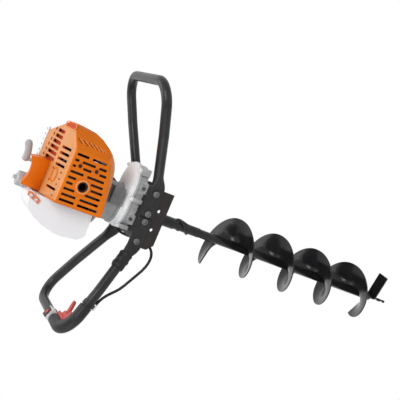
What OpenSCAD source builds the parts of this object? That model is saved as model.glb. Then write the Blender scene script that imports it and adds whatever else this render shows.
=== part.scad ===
// Motor earth auger: two-stroke engine, clutch, two-stage gearbox, loop handles and a helical bit.
// Z runs up the drill axis and the point of the bit is the origin. Sizes are in millimetres.

/* [Bit] */
// Length of the bit from its point to the top of its socket
bit_len = 800; // [760:10:1000]
// Diameter of the hole that the flight cuts
flight_d = 150; // [100:5:200]
// Rise of the flight in one turn
flight_pitch = 135.5; // [110:0.5:140]
// Turns of the flight
flight_turns = 4.07; // [3:0.01:4.1]
// Thickness of the flight's plate
flight_t = 4; // [3:0.5:6]
// Drop of the flight's inner edge below its rim
flight_dish = 17; // [0:1:20]
// Distance from the top of the socket to the start of the flight
flight_drop = 158; // [150:1:170]
// Diameter of the bit's shaft
bit_shaft_d = 23; // [20:1:26]
// Outer diameter of the collar at the top of the socket
socket_d = 30; // [28:1:40]
// Length of the collar
collar_len = 47; // [40:1:52]
// Outer diameter of the socket below its collar
sleeve_d = 25.5; // [25:0.5:28]
// Length of the socket with its collar
socket_len = 122; // [112:1:130]
// Length of the cone between the socket and the shaft
cone_len = 5; // [2:1:20]
// Depth of the coupler pin below the top of the socket
pin_drop = 64; // [60:1:80]
// Diameter of the coupler pin
pin_d = 10; // [6:1:12]
// Length of the pilot point below the shaft
pilot_len = 64; // [56:1:72]
// Width of the pilot point's flat bar
pilot_w = 9; // [7:1:12]
// Reach of the cutting blade from the drill axis
blade_reach = 77; // [50:1:90]
// Width of the cutting blade
blade_w = 31; // [20:1:40]
// Thickness of the cutting blade
blade_t = 5; // [3:0.5:7]

/* [Frame] */
// Length of the channel frame between the handles
frame_len = 150; // [146:2:200]
// Width of the channel frame over its flanges
frame_w = 168; // [160:2:200]
// Height of the flanges
flange_h = 64; // [60:1:80]
// Thickness of the channel's plate
plate_t = 5; // [4:0.5:6]
// Distance from the web's underside down to the top of the bit's socket
socket_gap = 77; // [70:1:100]
// Diameter of the handle bolts
handle_bolt_d = 8; // [6:1:8]
// Diameter of the spare holes in the flanges
spare_hole_d = 8.5; // [6:0.5:9]
// Distance between the two spare holes of a flange
spare_pitch = 49; // [45:1:60]

/* [Handles] */
// Outer diameter of the handle tube
tube_d = 25; // [22:0.5:26]
// Wall of the handle tube
tube_wall = 2; // [1.5:0.5:3]
// Rise of the handles from the frame, in degrees
handle_tilt = 23; // [18:1:28]
// Distance along a handle from its flat end to its crossbar
handle_len = 246; // [226:1:280]
// Half the width of a handle over its tube centres
handle_half = 150; // [146:1:164]
// Bend radius at the corners of the crossbar
corner_r = 50; // [36:1:54]
// Width of the flattened ends
flat_w = 36; // [32:1:38]
// Thickness of the flattened ends
flat_t = 5; // [4:0.5:6]

/* [Gearbox] */
// Tooth module of both gear stages
gear_module = 1.5; // [1.4:0.05:1.5]
// Teeth of the two pinions
pinion_teeth = 14; // [14:2:14]
// Teeth of the two large gears
wheel_teeth = 62; // [58:4:62]
// Play between meshing teeth
backlash = 0.4; // [0.2:0.05:0.6]
// Width of the output gear
output_gear_w = 12; // [8:1:12]
// Width of the first large gear
first_gear_w = 8; // [6:1:8]
// Wall of the gearbox casing
casing_wall = 5; // [4:0.5:7]
// Thickness of the casing's floor and roof
casing_floor = 9; // [9:0.5:12]
// Diameter of the output shaft
output_d = 20; // [18:1:20]
// Diameter of the countershaft and the input shaft
shaft_d = 12; // [10:1:12]
// Outer diameter of the output bearings
output_bearing_d = 47; // [42:1:47]
// Width of an output bearing
output_bearing_w = 14; // [10:1:14]

/* [Clutch] */
// Outer radius of the clutch drum
drum_r = 39; // [34:1:40]
// Height of the clutch drum
drum_h = 28; // [20:1:28]
// Height of the clutch housing
clutch_h = 55; // [53:1:60]
// Outer radius of the clutch housing's bell
bell_r = 50; // [48:1:52]

/* [Engine] */
// Bore of the cylinder
bore_d = 44; // [40:1:46]
// Stroke of the piston
stroke = 34; // [28:1:34]
// Radius of the flywheel
flywheel_r = 48; // [42:1:49]
// Number of fan blades on the flywheel
fan_blades = 12; // [8:1:16]
// Number of cooling fins on the cylinder
fin_count = 6; // [4:1:7]
// Radius of the exhaust outlet
outlet_r = 11.5; // [8:0.5:13]

/* [Covers] */
// Wall of the plastic covers
cover_wall = 2.5; // [2:0.25:3]
// Width of the slots in the shroud's side
slot_w = 6; // [4:0.5:7]
// Distance between the rows of slots
slot_pitch = 13.9; // [12:0.1:14]
// Rows of slots
slot_rows = 9; // [5:1:9]
// Wall of the fuel tank
tank_wall = 2.5; // [2:0.25:4]
// Width of the fuel tank
tank_w = 124; // [100:2:128]
// Radius of the filler cap
cap_r = 19; // [16:1:19]

/* [Controls] */
// Diameter of the throttle cable's conduit
cable_d = 7; // [5:0.5:7]
// Length of the throttle lever from its pivot
lever_len = 44; // [30:1:46]
// Travel of the stop button
button_travel = 3; // [2:0.5:4]
// Length of the starter grip
grip_len = 50; // [40:1:54]

/* [Hidden] */
$fn = 64;

// Running clearance between a shaft and its bore
run = 0.05;
// Clearance of a bolt in its hole
slack = 0.3;
// Clearance between covers and what passes through them
gap = 1;
// Length added to a cut so that it passes through a face
past = 1;

// Height of the web's underside above the point of the bit
web_z = bit_len + socket_gap;
web_cut = 15;
bit_shaft_r = bit_shaft_d / 2;
socket_bore = 95;
sleeve_r = sleeve_d / 2;
flight_top = bit_len - flight_drop;
flight_angle = 187.5;
flight_step = 10;
pilot_neck = 20;
pilot_taper = 0.85;
pilot_twist = 360;
blade_z = pilot_len - 9;
blade_root = 3;
blade_tilt = -68;
blade_turn = -11.5;
pin_head_h = 5;
pin_tail = 1;

half_len = frame_len / 2;
half_w = frame_w / 2;
flange_low = plate_t - flange_h;
flange_chamfer = 15;
bolt_z = -10;
bolt_near = 10;
bolt_far = 62;
spare_z = -37.5;
nut_h = 6.5;
head_h = 5.5;
hex_r = 7.5;

tube_r = tube_d / 2;
flat_start = 1.5;
flat_end = half_len + 1;
leg_x = flat_end + 12;
leg_y = half_w + flat_t / 2;
leg_z = bolt_z + 6;
leg_start = 18;
bow_u = 120;
bow_v = handle_half - 26;
bow_r = 60;
tube_sides = 16;

centre = gear_module * (pinion_teeth + wheel_teeth) / 2;
pressure = 20;
addendum = 0.8 * gear_module;
dedendum = 1.05 * gear_module;
wheel_tip = gear_module * wheel_teeth / 2 + addendum;
casing_in = wheel_tip + 2.3;
casing_r = casing_in + casing_wall;
floor_top = plate_t + casing_floor;
output_gear_z = floor_top + 1;
output_gear_top = output_gear_z + output_gear_w;
first_gear_z = output_gear_top + 2;
first_gear_top = first_gear_z + first_gear_w;
roof_z = first_gear_top + 2;
casing_top = roof_z + casing_floor;
parting_z = first_gear_z + 1;
lug_r = 8;
casing_screw_r = 3;
lug_reach = casing_r + 5.5;
lug_top = parting_z + 6;
frame_bolt_r = 4;
frame_lug_r = 9;
frame_lug_top = parting_z - 6;
spigot_r = output_bearing_d / 2 + 4.5;
seal_w = 8;
bearing_space = 2;
spigot_low = floor_top - 2 - 2 * output_bearing_w - bearing_space - seal_w - 4;
small_bearing_r = 13;
small_bearing_w = 8;
input_bearing_r = 16;

clutch_top = casing_top + clutch_h;
clutch_plate = 6;
drum_z = casing_top + clutch_plate + 6;
flange_r = 72;
flange_t = 6;
post_x = 30;
post_y = 52;
post_r = 6;
screw_r = 2.5;
screw_head_r = 4.5;
screw_head_h = 4.5;
inner_screw_r = 38;

base_z = clutch_top + 17;
base_t = 4;
case_top = base_z + 94;
case_x = 36;
case_y = 38;
crank_z = base_z + 49;
web_r = 30;
journal_r = 10;
crank_bearing_r = 17.5;
crank_bearing_w = 12;
stub_r = 6;
barrel_r = bore_d / 2 + 6;
fin_y = 42;
fin_z = 38;
head_x = 108;
port_x = 70;
port_r = 9;
port_half = 14;
coil_x = 70;
coil_half = 14;
base_x = 72;
muffler_x0 = -20;
muffler_x1 = 74;
muffler_y = -92;
muffler_down = 44;
muffler_up = 37;
sheet = 2;
flange_step = 4;
filter_x0 = 32;
filter_x1 = 108;
filter_half = 38;
filter_depth = 28;
filter_wall = 3.5;
filter_back = 6;
outlet_x = 17;
shroud_y = -100;

shroud_x = -37;
shroud_back = 76;
shroud_low = crank_z - 69;
shroud_edge = crank_z + 46;
shroud_ridge_y = -40;
rear_count = 6;
edge_count = 4;
rear_pitch = 13.8;
rear_half = 4.2;
shroud_ridge = crank_z + 71;
rear_rise = 0.1;
rear_z = crank_z + 93;
side_knee = 95;
front_x = 148;
// Slanted face at the far front corner: a point on it and the direction it faces
corner_at = [147, -52, crank_z + 70];
corner_turn = 18;
corner_lift = 11.7;
big = 400;
window_x0 = 26;
window_x1 = 96;
window_top = crank_z + 27;

starter_x0 = -36;
starter_x1 = 41;
starter_y0 = -25;
starter_y1 = 30;
starter_low = case_top;
starter_top = case_top + 75;
starter_slope = 9.5;
scoop_r = 70;
scoop_depth = 10;
starter_post_r = 5;
pulley_r = 21.5;
pulley_h = 11;
groove_r = 18;
groove_h = 5;
rope_r = 1.8;
rope_x = groove_r + rope_r + run;
rope_z = starter_top - 27;
rope_start = 4;
rope_hold = 8;
spring_r = 16;
spring_bore = 7;
spring_h = 6;
grip_x = 38;
grip_y = 50;
grip_r = 8;
grip_rise = 22;
stem_r = 6;
riser_r = 5;

tank_x = -39;
tank_low = crank_z - 63;
tank_high = crank_z + 97;
cap_x = -32;
cap_y = 51;
neck_r = 11;
boss_r = 14;
boss_half = 10;
boss_x = -62;
boss_low = crank_z + 84.5;
boss_top = crank_z + 94;
neck_top = crank_z + 109;
cap_z = crank_z + 99;
cap_h = 22;
cap_depth = 11;
knob_r = 5;
bracket_x = -60;
bracket_t = 3;
bracket_low = crank_z + 69;
bracket_top = crank_z + 101;

lever_v = -70;
lever_drop = 8;
lever_rest = 30;
pivot_u = handle_len - 26;
switch_v = -30;
switch_half = 15;
switch_top = tube_r + 6;
button_r = 6;
button_floor = tube_r + 0.5;
button_h = 4.5;
grip_wall = 3;
grip_start = switch_v - switch_half - 5;
clamp_wall = 2.5;
clip_u = 150;
clip_len = 12;
cable_r = cable_d / 2;
cable_drop = tube_r + cable_r + 0.8;
cable_sides = 8;

// The machine above the bit is laid out from the web's underside
module head() {
  translate([0, 0, web_z]) children();
}

// Handle frame: u runs out along the handle, v along +Y and w away from the engine
module handle_frame() {
  translate([leg_x, 0, leg_z]) rotate([0, -handle_tilt, 0]) children();
}

function handle_point(p) = [
  -(leg_x + p[0] * cos(handle_tilt) - p[2] * -sin(handle_tilt)),
  p[1],
  leg_z + p[0] * sin(handle_tilt) - p[2] * cos(handle_tilt)];

module ring(r_out, r_in, h) {
  difference() {
    cylinder(r = r_out, h = h);
    translate([0, 0, -past]) cylinder(r = r_in, h = h + 2 * past);
  }
}

// Cylinder along +X from a point
module rod_x(r, x0, x1) {
  translate([x0, 0, 0]) rotate([0, 90, 0]) cylinder(r = r, h = x1 - x0);
}

// Cylinder along +Y from y0 to y1
module rod_y(r, y0, y1) {
  translate([0, y1, 0]) rotate([90, 0, 0]) cylinder(r = r, h = y1 - y0);
}

module box(x0, x1, y0, y1, z0, z1) {
  translate([x0, y0, z0]) cube([x1 - x0, y1 - y0, z1 - z0]);
}

// Outline in the XZ plane, extruded from y0 to y1
module prism_y(points, y0, y1) {
  translate([0, y1, 0]) rotate([90, 0, 0]) linear_extrude(y1 - y0) polygon(points);
}

// Outline in the YZ plane, extruded from x0 to x1
module prism_x(points, x0, x1) {
  translate([x0, 0, 0]) rotate([90, 0, 90]) linear_extrude(x1 - x0) polygon(points);
}

// Convex counter-clockwise outline moved in by a wall
function inset(p, w) = [for (i = [0 : len(p) - 1])
  let (a = p[(i + len(p) - 1) % len(p)], b = p[i], c = p[(i + 1) % len(p)],
    d = (b - a) / norm(b - a), e = (c - b) / norm(c - b), m = [-d[1], d[0]], n = [-e[1], e[0]])
  b + w * (m + n) / (1 + m * n)];

// Triangles of a tube of count rings with the same number of sides
function sweep_faces(count, sides) = concat(
  [for (k = [1 : sides - 2]) [0, sides - k, sides - k - 1]],
  [for (i = [0 : count - 2], j = [0 : sides - 1], half = [0, 1])
    let (a = i * sides, b = a + sides, k = (j + 1) % sides)
    half == 0 ? [a + j, a + k, b + k] : [a + j, b + k, b + j]],
  [for (k = [1 : sides - 2]) [(count - 1) * sides, (count - 1) * sides + k, (count - 1) * sides + k + 1]]);

// Bit
module bit_shaft() {
  sleeve_low = bit_len - socket_len;
  color("#26262a") difference() {
    union() {
      translate([0, 0, pilot_len]) cylinder(r = bit_shaft_r, h = sleeve_low - cone_len - pilot_len);
      translate([0, 0, sleeve_low - cone_len]) cylinder(r1 = bit_shaft_r, r2 = sleeve_r, h = cone_len);
      translate([0, 0, sleeve_low]) cylinder(r = sleeve_r, h = socket_len);
      translate([0, 0, bit_len - collar_len]) cylinder(r = socket_d / 2, h = collar_len);
    }
    translate([0, 0, bit_len - socket_bore]) cylinder(r = output_d / 2 + run, h = socket_bore + past);
    translate([0, 0, bit_len - pin_drop]) rod_x(pin_d / 2 + run, -socket_d, socket_d);
  }
}

module bit_flight() {
  count = ceil(flight_turns * 360 / flight_step) + 1;
  step = flight_turns * 360 / (count - 1);
  inner = bit_shaft_r / cos(step / 2) + run;
  points = [for (i = [0 : count - 1], k = [0 : 3])
    let (a = flight_angle - i * step, at_rim = k == 1 || k == 2, r = at_rim ? flight_d / 2 : inner,
      level = flight_top - flight_pitch * i * step / 360 - (at_rim ? 0 : flight_dish),
      z = level + (k < 2 ? flight_t / 2 : -flight_t / 2))
    [r * cos(a), r * sin(a), z]];
  color("#2b2b30") polyhedron(points, sweep_faces(count, 4), convexity = 10);
}

module cutting_blade() {
  color("#303033") difference() {
    rotate([0, 0, blade_turn]) translate([0, 0, blade_z]) rotate([blade_tilt, 0, 0])
      translate([blade_root, -blade_t / 2, -blade_w / 2]) cube([blade_reach - blade_root, blade_t, blade_w]);
    cylinder(r = pilot_w / 2 + run, h = pilot_len + past);
  }
}

module pilot_point() {
  screw_len = pilot_len - pilot_neck;
  color("#3a3a3d") {
    translate([0, 0, screw_len]) linear_extrude(pilot_neck) circle(r = pilot_w / 2, $fn = 16);
    translate([0, 0, screw_len]) mirror([0, 0, 1])
      linear_extrude(height = screw_len, scale = pilot_taper, twist = pilot_twist, slices = 24)
        square([pilot_w, pilot_w / 2], center = true);
  }
}

module coupler_pin() {
  color("silver") translate([0, 0, bit_len - pin_drop]) {
    rod_x(pin_d / 2, -sleeve_r - pin_tail, sleeve_r);
    rod_x(pin_d / 2 + 3, sleeve_r, sleeve_r + pin_head_h);
  }
}

// Frame and handles
module flange() {
  prism_y([[-half_len, flange_low + flange_chamfer], [-half_len + flange_chamfer, flange_low],
    [half_len, flange_low], [half_len, plate_t], [-half_len, plate_t]], half_w - plate_t, half_w);
}

module handle_bolt_places() {
  for (x = [-bolt_far, -bolt_near, bolt_near, bolt_far]) translate([x, 0, bolt_z]) children();
}

function frame_lugs() = [for (s = [-1, 1]) each [
  [-20, s * (casing_r + 2)], [62, s * (casing_r + 5)]]];

module frame_channel() {
  color("#2a2626") head() difference() {
    union() {
      box(web_cut - half_len, half_len, -half_w, half_w, 0, plate_t);
      flange();
      mirror([0, 1, 0]) flange();
    }
    translate([0, 0, -past]) cylinder(r = spigot_r + slack, h = plate_t + 2 * past);
    handle_bolt_places() rod_y(handle_bolt_d / 2 + slack, -frame_w, frame_w);
    for (x = [-spare_pitch / 2, spare_pitch / 2])
      translate([x, 0, spare_z]) rod_y(spare_hole_d / 2, -frame_w, frame_w);
    for (p = frame_lugs())
      translate([p[0], p[1], -past]) cylinder(r = frame_bolt_r + slack, h = plate_t + 2 * past);
  }
}

function along(a) = [cos(a), sin(a)];
leg_overlap = 4;
leg_root = [leg_start, leg_y + leg_start * (bow_v - leg_y) / bow_u];
root_x = leg_x + leg_start * cos(handle_tilt);
root_z = leg_z + leg_start * sin(handle_tilt);
bow_point = [bow_u, bow_v];
corner_point = [handle_len, handle_half];
first_heading = atan2(bow_v - leg_y, bow_u);
second_heading = atan2(handle_half - bow_v, handle_len - bow_u);
bow_cut = bow_r * tan((first_heading - second_heading) / 2);
corner_cut = corner_r * tan((second_heading + 90) / 2);

// Points of a clockwise bend, each with the heading of the tube there
function bend_points(from, heading, turn, r, steps) = [for (k = [0 : steps])
  let (h = heading - turn * k / steps, mid = from + r * [sin(heading), -cos(heading)])
  [mid + r * [-sin(h), cos(h)], h]];
half_path = concat([[leg_root - leg_overlap * along(first_heading), first_heading]],
  bend_points(bow_point - bow_cut * along(first_heading), first_heading,
    first_heading - second_heading, bow_r, 3),
  bend_points(corner_point - corner_cut * along(second_heading), second_heading,
    second_heading + 90, corner_r, 8));
handle_path = concat(half_path, [for (i = [len(half_path) - 1 : -1 : 0])
  [[half_path[i][0][0], -half_path[i][0][1]], -half_path[i][1] - 180]]);

// Triangles of a pipe whose rings hold the outer points and then the inner ones
function pipe_faces(count, sides) = [for (j = [0 : sides - 1])
  let (k = (j + 1) % sides, e = (count - 1) * 2 * sides) each concat(
    [[k, j, sides + j], [k, sides + j, sides + k]],
    [[e + j, e + k, e + sides + k], [e + j, e + sides + k, e + sides + j]],
    [for (i = [0 : count - 2]) let (a = i * 2 * sides, b = a + 2 * sides) each [
      [a + j, a + k, b + k], [a + j, b + k, b + j],
      [a + sides + j, b + sides + k, a + sides + k], [a + sides + j, b + sides + j, b + sides + k]]])];

module pipe_along(path, outer, inner) {
  points = [for (p = path, r = [outer, inner], k = [0 : tube_sides - 1])
    let (a = (k + 0.5) * 360 / tube_sides, side = r * cos(a))
    [p[0][0] - side * sin(p[1]), p[0][1] + side * cos(p[1]), -r * sin(a)]];
  polyhedron(points, pipe_faces(len(path), tube_sides), convexity = 10);
}

// Flattened end with its bolt holes, tapering into the round tube
module flat_end_piece() {
  neck = tube_r + 0.8;
  rise = neck * cos(handle_tilt);
  lean = neck * sin(handle_tilt);
  low = bolt_z - flat_w / 2;
  high = bolt_z + flat_w / 2;
  intersection() {
    prism_y([[flat_start, low], [flat_end, low], [root_x + lean, root_z - rise],
      [root_x - lean, root_z + rise], [flat_end, high], [flat_start, high]], 0, frame_w);
    translate([0, 0, flange_low]) linear_extrude(frame_w) polygon([[flat_start, half_w],
      [flat_end, half_w], [root_x - 5, leg_root[1] - neck], [root_x + 10, leg_root[1] - neck],
      [root_x + 10, leg_root[1] + neck], [root_x - 5, leg_root[1] + neck], [flat_end, half_w + flat_t],
      [flat_start, half_w + flat_t]]);
  }
}

module loop_handle() {
  color("#2c2c2e") head() difference() {
    union() {
      handle_frame() pipe_along(handle_path, tube_r, tube_r - tube_wall);
      flat_end_piece();
      mirror([0, 1, 0]) flat_end_piece();
    }
    handle_bolt_places() rod_y(handle_bolt_d / 2 + slack, -frame_w, frame_w);
  }
}

module right_handle() {
  loop_handle();
}

module left_handle() {
  mirror([1, 0, 0]) loop_handle();
}

module both_flanges() {
  children();
  mirror([0, 1, 0]) children();
}

module handle_bolts() {
  outer = half_w + flat_t;
  color("#8c8c90") head() both_flanges() handle_bolt_places() {
    rod_y(handle_bolt_d / 2, half_w - plate_t - nut_h - 2, outer);
    translate([0, outer + head_h, 0]) rotate([90, 0, 0]) cylinder(r = hex_r, h = head_h, $fn = 6);
  }
}

module handle_nuts() {
  inner = half_w - plate_t;
  color("#8c8c90") head() both_flanges() handle_bolt_places() difference() {
    translate([0, inner, 0]) rotate([90, 0, 0]) cylinder(r = hex_r, h = nut_h, $fn = 6);
    rod_y(handle_bolt_d / 2 + run, inner - nut_h - past, inner + past);
  }
}

module frame_bolts() {
  color("#8c8c90") head() for (p = frame_lugs()) translate([p[0], p[1], -head_h]) {
    cylinder(r = hex_r, h = head_h, $fn = 6);
    cylinder(r = frame_bolt_r, h = head_h + plate_t + 12);
  }
}

// Gearbox: two coaxial shafts on the drill axis and a countershaft towards +X
module casing_outline(r, h) {
  cylinder(r = r, h = h);
  translate([centre, 0, 0]) cylinder(r = r, h = h);
  translate([0, -r, 0]) cube([centre, 2 * r, h]);
}

function casing_lugs() = [for (s = [-1, 1]) each [
  [-lug_reach * 0.75, s * lug_reach * 0.66],
  [centre / 2, s * lug_reach],
  [centre + lug_reach * 0.7, s * lug_reach * 0.71]]];

module casing_lug_places() {
  for (p = casing_lugs()) translate([p[0], p[1], 0]) children();
}

module gearbox_lower() {
  color("#b9bbbd") head() difference() {
    union() {
      translate([0, 0, plate_t]) casing_outline(casing_r, parting_z - plate_t);
      translate([0, 0, spigot_low]) cylinder(r = spigot_r, h = plate_t - spigot_low);
      casing_lug_places() translate([0, 0, plate_t]) cylinder(r = lug_r, h = parting_z - plate_t);
      for (p = frame_lugs())
        translate([p[0], p[1], plate_t]) cylinder(r = frame_lug_r, h = frame_lug_top - plate_t);
    }
    translate([0, 0, floor_top]) casing_outline(casing_in, parting_z);
    translate([0, 0, spigot_low - past])
      cylinder(r = output_bearing_d / 2 + run, h = floor_top - 2 - spigot_low + past);
    cylinder(r = output_d / 2 + 4, h = floor_top + past);
    translate([centre, 0, floor_top - small_bearing_w])
      cylinder(r = small_bearing_r + run, h = small_bearing_w + past);
    casing_lug_places() translate([0, 0, floor_top]) cylinder(r = casing_screw_r + run, h = parting_z);
    for (p = frame_lugs())
      translate([p[0], p[1], plate_t - past]) cylinder(r = frame_bolt_r + run, h = 13 + past);
  }
}

module gearbox_upper() {
  color("#c4c6c8") head() difference() {
    union() {
      translate([0, 0, parting_z]) casing_outline(casing_r, casing_top - parting_z);
      casing_lug_places() translate([0, 0, parting_z]) cylinder(r = lug_r, h = lug_top - parting_z);
    }
    translate([0, 0, parting_z - past]) casing_outline(casing_in, roof_z - parting_z + past);
    translate([0, 0, roof_z - past]) cylinder(r = input_bearing_r + run, h = casing_floor + 2 * past);
    translate([centre, 0, roof_z - past]) cylinder(r = small_bearing_r + run, h = small_bearing_w + past);
    casing_lug_places() translate([0, 0, parting_z - past])
      cylinder(r = casing_screw_r + slack, h = casing_top);
    for (a = [45 : 90 : 315]) rotate([0, 0, a]) translate([inner_screw_r, 0, roof_z + 1])
      cylinder(r = screw_r + run, h = casing_floor);
  }
}

module gearbox_screws() {
  color("#9a9a9c") head() casing_lug_places() {
    translate([0, 0, floor_top + 1]) cylinder(r = casing_screw_r, h = lug_top - floor_top - 1);
    translate([0, 0, lug_top]) cylinder(r = casing_screw_r + 2, h = casing_screw_r + 2);
  }
}

module output_bearings() {
  color("#b0b2b5") head() for (k = [0, 1])
    translate([0, 0, floor_top - 2 - output_bearing_w - k * (output_bearing_w + bearing_space)])
      ring(output_bearing_d / 2, output_d / 2 + run, output_bearing_w);
}

module output_seal() {
  color("#1d1d1f") head() translate([0, 0, spigot_low + 4])
    ring(output_bearing_d / 2, output_d / 2 + run, seal_w);
}

module countershaft_bearings() {
  color("#b0b2b5") head() translate([centre, 0, 0]) {
    translate([0, 0, floor_top - small_bearing_w])
      ring(small_bearing_r, shaft_d / 2 + run, small_bearing_w);
    translate([0, 0, roof_z]) ring(small_bearing_r, shaft_d / 2 + run, small_bearing_w);
  }
}

module input_bearing() {
  color("#b0b2b5") head() translate([0, 0, roof_z])
    ring(input_bearing_r, shaft_d / 2 + run, casing_floor);
}

function roll(a) = tan(a) * 180 / PI - a;

// Half the angle of a tooth at a radius
function tooth_half(r, base, pitch_r, teeth) =
  90 / teeth - backlash / 4 / pitch_r * 180 / PI + roll(pressure) - roll(acos(min(1, base / r)));

// Involute gear outline with its first tooth on the X axis
function gear_points(teeth) =
  let (pitch_r = gear_module * teeth / 2, base = pitch_r * cos(pressure), tip = pitch_r + addendum,
    root = pitch_r - dedendum, low = max(base, root), radii = [low, (low + tip) / 2, tip])
  [for (i = [0 : teeth - 1]) let (mid = i * 360 / teeth) each concat(
    [root * along(mid - tooth_half(low, base, pitch_r, teeth))],
    root < low ? [for (r = radii) r * along(mid - tooth_half(r, base, pitch_r, teeth))]
      : [for (k = [1, 2]) radii[k] * along(mid - tooth_half(radii[k], base, pitch_r, teeth))],
    root < low ? [for (k = [2, 1, 0]) radii[k] * along(mid + tooth_half(radii[k], base, pitch_r, teeth))]
      : [for (k = [2, 1]) radii[k] * along(mid + tooth_half(radii[k], base, pitch_r, teeth))],
    [root * along(mid + tooth_half(low, base, pitch_r, teeth))])];

// Gear with a twelve-sided bore for its splined shaft
module spur_gear(teeth, width, shaft_r) {
  linear_extrude(width) difference() {
    polygon(gear_points(teeth));
    circle(r = (shaft_r + run) / cos(15), $fn = 12);
  }
}

module output_gear() {
  color("#8f8a80") head() translate([0, 0, output_gear_z]) rotate([0, 0, 180 / wheel_teeth])
    spur_gear(wheel_teeth, output_gear_w, output_d / 2);
}

module output_shaft() {
  low = bit_len - socket_bore + 2 - web_z;
  color("#a5a5a8") head() difference() {
    translate([0, 0, low]) cylinder(r = output_d / 2, h = output_gear_top - low);
    translate([0, 0, -socket_gap - pin_drop]) rod_x(pin_d / 2 + run, -output_d, output_d);
  }
}

module countershaft() {
  color("#a09a8e") head() translate([centre, 0, 0]) {
    translate([0, 0, floor_top - small_bearing_w + 1])
      cylinder(r = shaft_d / 2, h = roof_z + 2 * small_bearing_w - floor_top - 2);
    translate([0, 0, output_gear_z]) linear_extrude(output_gear_w + 0.5) polygon(gear_points(pinion_teeth));
  }
}

module first_gear() {
  color("#8f8a80") head() translate([centre, 0, first_gear_z]) rotate([0, 0, 180 / wheel_teeth])
    spur_gear(wheel_teeth, first_gear_w, shaft_d / 2);
}

module input_pinion() {
  color("#a09a8e") head() {
    translate([0, 0, output_gear_top + 1]) linear_extrude(first_gear_w + 1)
      polygon(gear_points(pinion_teeth));
    translate([0, 0, first_gear_z]) cylinder(r = shaft_d / 2, h = drum_z + 5 - first_gear_z);
  }
}

// Clutch
module clutch_drum() {
  color("#77787c") head() translate([0, 0, drum_z]) difference() {
    cylinder(r = drum_r, h = drum_h);
    translate([0, 0, 5]) cylinder(r = drum_r - 3, h = drum_h);
    translate([0, 0, -past]) cylinder(r = shaft_d / 2 + run, h = 5 + 2 * past);
  }
}

module clutch_shoes() {
  shoe_r = drum_r - 3.8;
  color("#5a5550") head() translate([0, 0, drum_z + 8]) difference() {
    union() {
      ring(shoe_r, shoe_r - 9, 16);
      box(-shoe_r + 4, shoe_r - 4, -9, 9, 0, 16);
      cylinder(r = 13, h = 16);
    }
    for (s = [-1, 1]) box(-2, 2, s * (shoe_r - 4) - 7, s * (shoe_r - 4) + 7, -past, 16 + past);
    translate([0, 0, -past]) cylinder(r = stub_r + run, h = 16 + 2 * past);
  }
}

module clutch_housing() {
  bell_in = bell_r - 5;
  color("#9fa2a5") head() difference() {
    union() {
      rotate_extrude() polygon([[input_bearing_r + 2, casing_top], [bell_r + 3, casing_top],
        [bell_r + 3, casing_top + clutch_plate], [bell_r, casing_top + clutch_plate + 3],
        [bell_r, clutch_top - 19], [flange_r - 10, clutch_top - flange_t], [flange_r, clutch_top - flange_t],
        [flange_r, clutch_top], [flywheel_r + 5, clutch_top], [flywheel_r + 5, clutch_top - flange_t],
        [bell_in, clutch_top - 18], [bell_in, casing_top + clutch_plate],
        [input_bearing_r + 2, casing_top + clutch_plate]]);
      difference() {
        box(2, 44, -bell_r - 9, -24, casing_top + clutch_plate, clutch_top - 22);
        cylinder(r = bell_r - 2, h = clutch_top);
      }
    }
    for (x = [-post_x, post_x], y = [-post_y, post_y]) translate([x, y, 0]) {
      cylinder(r = screw_r + slack, h = clutch_top + past);
      translate([0, 0, clutch_top - 26]) cylinder(r = screw_head_r + gap, h = 26 - flange_t);
    }
    for (a = [45 : 90 : 315]) rotate([0, 0, a]) translate([inner_screw_r, 0, casing_top - past])
      cylinder(r = screw_r + slack, h = clutch_plate + 2 * past);
  }
}

module housing_screws() {
  color("#c9c9cc") head() {
    for (x = [-post_x, post_x], y = [-post_y, post_y]) translate([x, y, clutch_top - flange_t]) {
      translate([0, 0, -screw_head_h]) cylinder(r = screw_head_r, h = screw_head_h);
      cylinder(r = screw_r, h = flange_t + 10);
    }
    for (a = [45 : 90 : 315]) rotate([0, 0, a]) translate([inner_screw_r, 0, casing_top + clutch_plate]) {
      cylinder(r = screw_head_r, h = screw_head_h);
      translate([0, 0, -clutch_plate - 6]) cylinder(r = screw_r, h = clutch_plate + 6);
    }
  }
}

// Engine
module crankcase() {
  color("#8d9093") head() difference() {
    union() {
      box(-case_x, base_x, -post_y - 8, post_y + 8, base_z, base_z + base_t);
      box(-case_x, case_x, -case_y, case_y, base_z, case_top);
      for (x = [-post_x, post_x], y = [-post_y, post_y])
        translate([x, y, clutch_top]) cylinder(r = post_r, h = base_z - clutch_top + past);
    }
    for (x = [-post_x, post_x], y = [-post_y, post_y])
      translate([x, y, clutch_top - past]) cylinder(r = screw_r + run, h = 12 + past);
    translate([0, 0, base_z + 18]) cylinder(r = web_r + 3, h = case_top - base_z - 32);
    translate([0, 0, base_z - past]) cylinder(r = crank_bearing_r + run, h = case_top - base_z + 2 * past);
    translate([0, 0, crank_z]) rod_x(bore_d / 2 + run, 0, case_x + past);
  }
}

module crank_bearings() {
  color("#b0b2b5") head() for (z = [base_z + 4, case_top - crank_bearing_w])
    translate([0, 0, z]) ring(crank_bearing_r, journal_r + run, crank_bearing_w);
}

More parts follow.
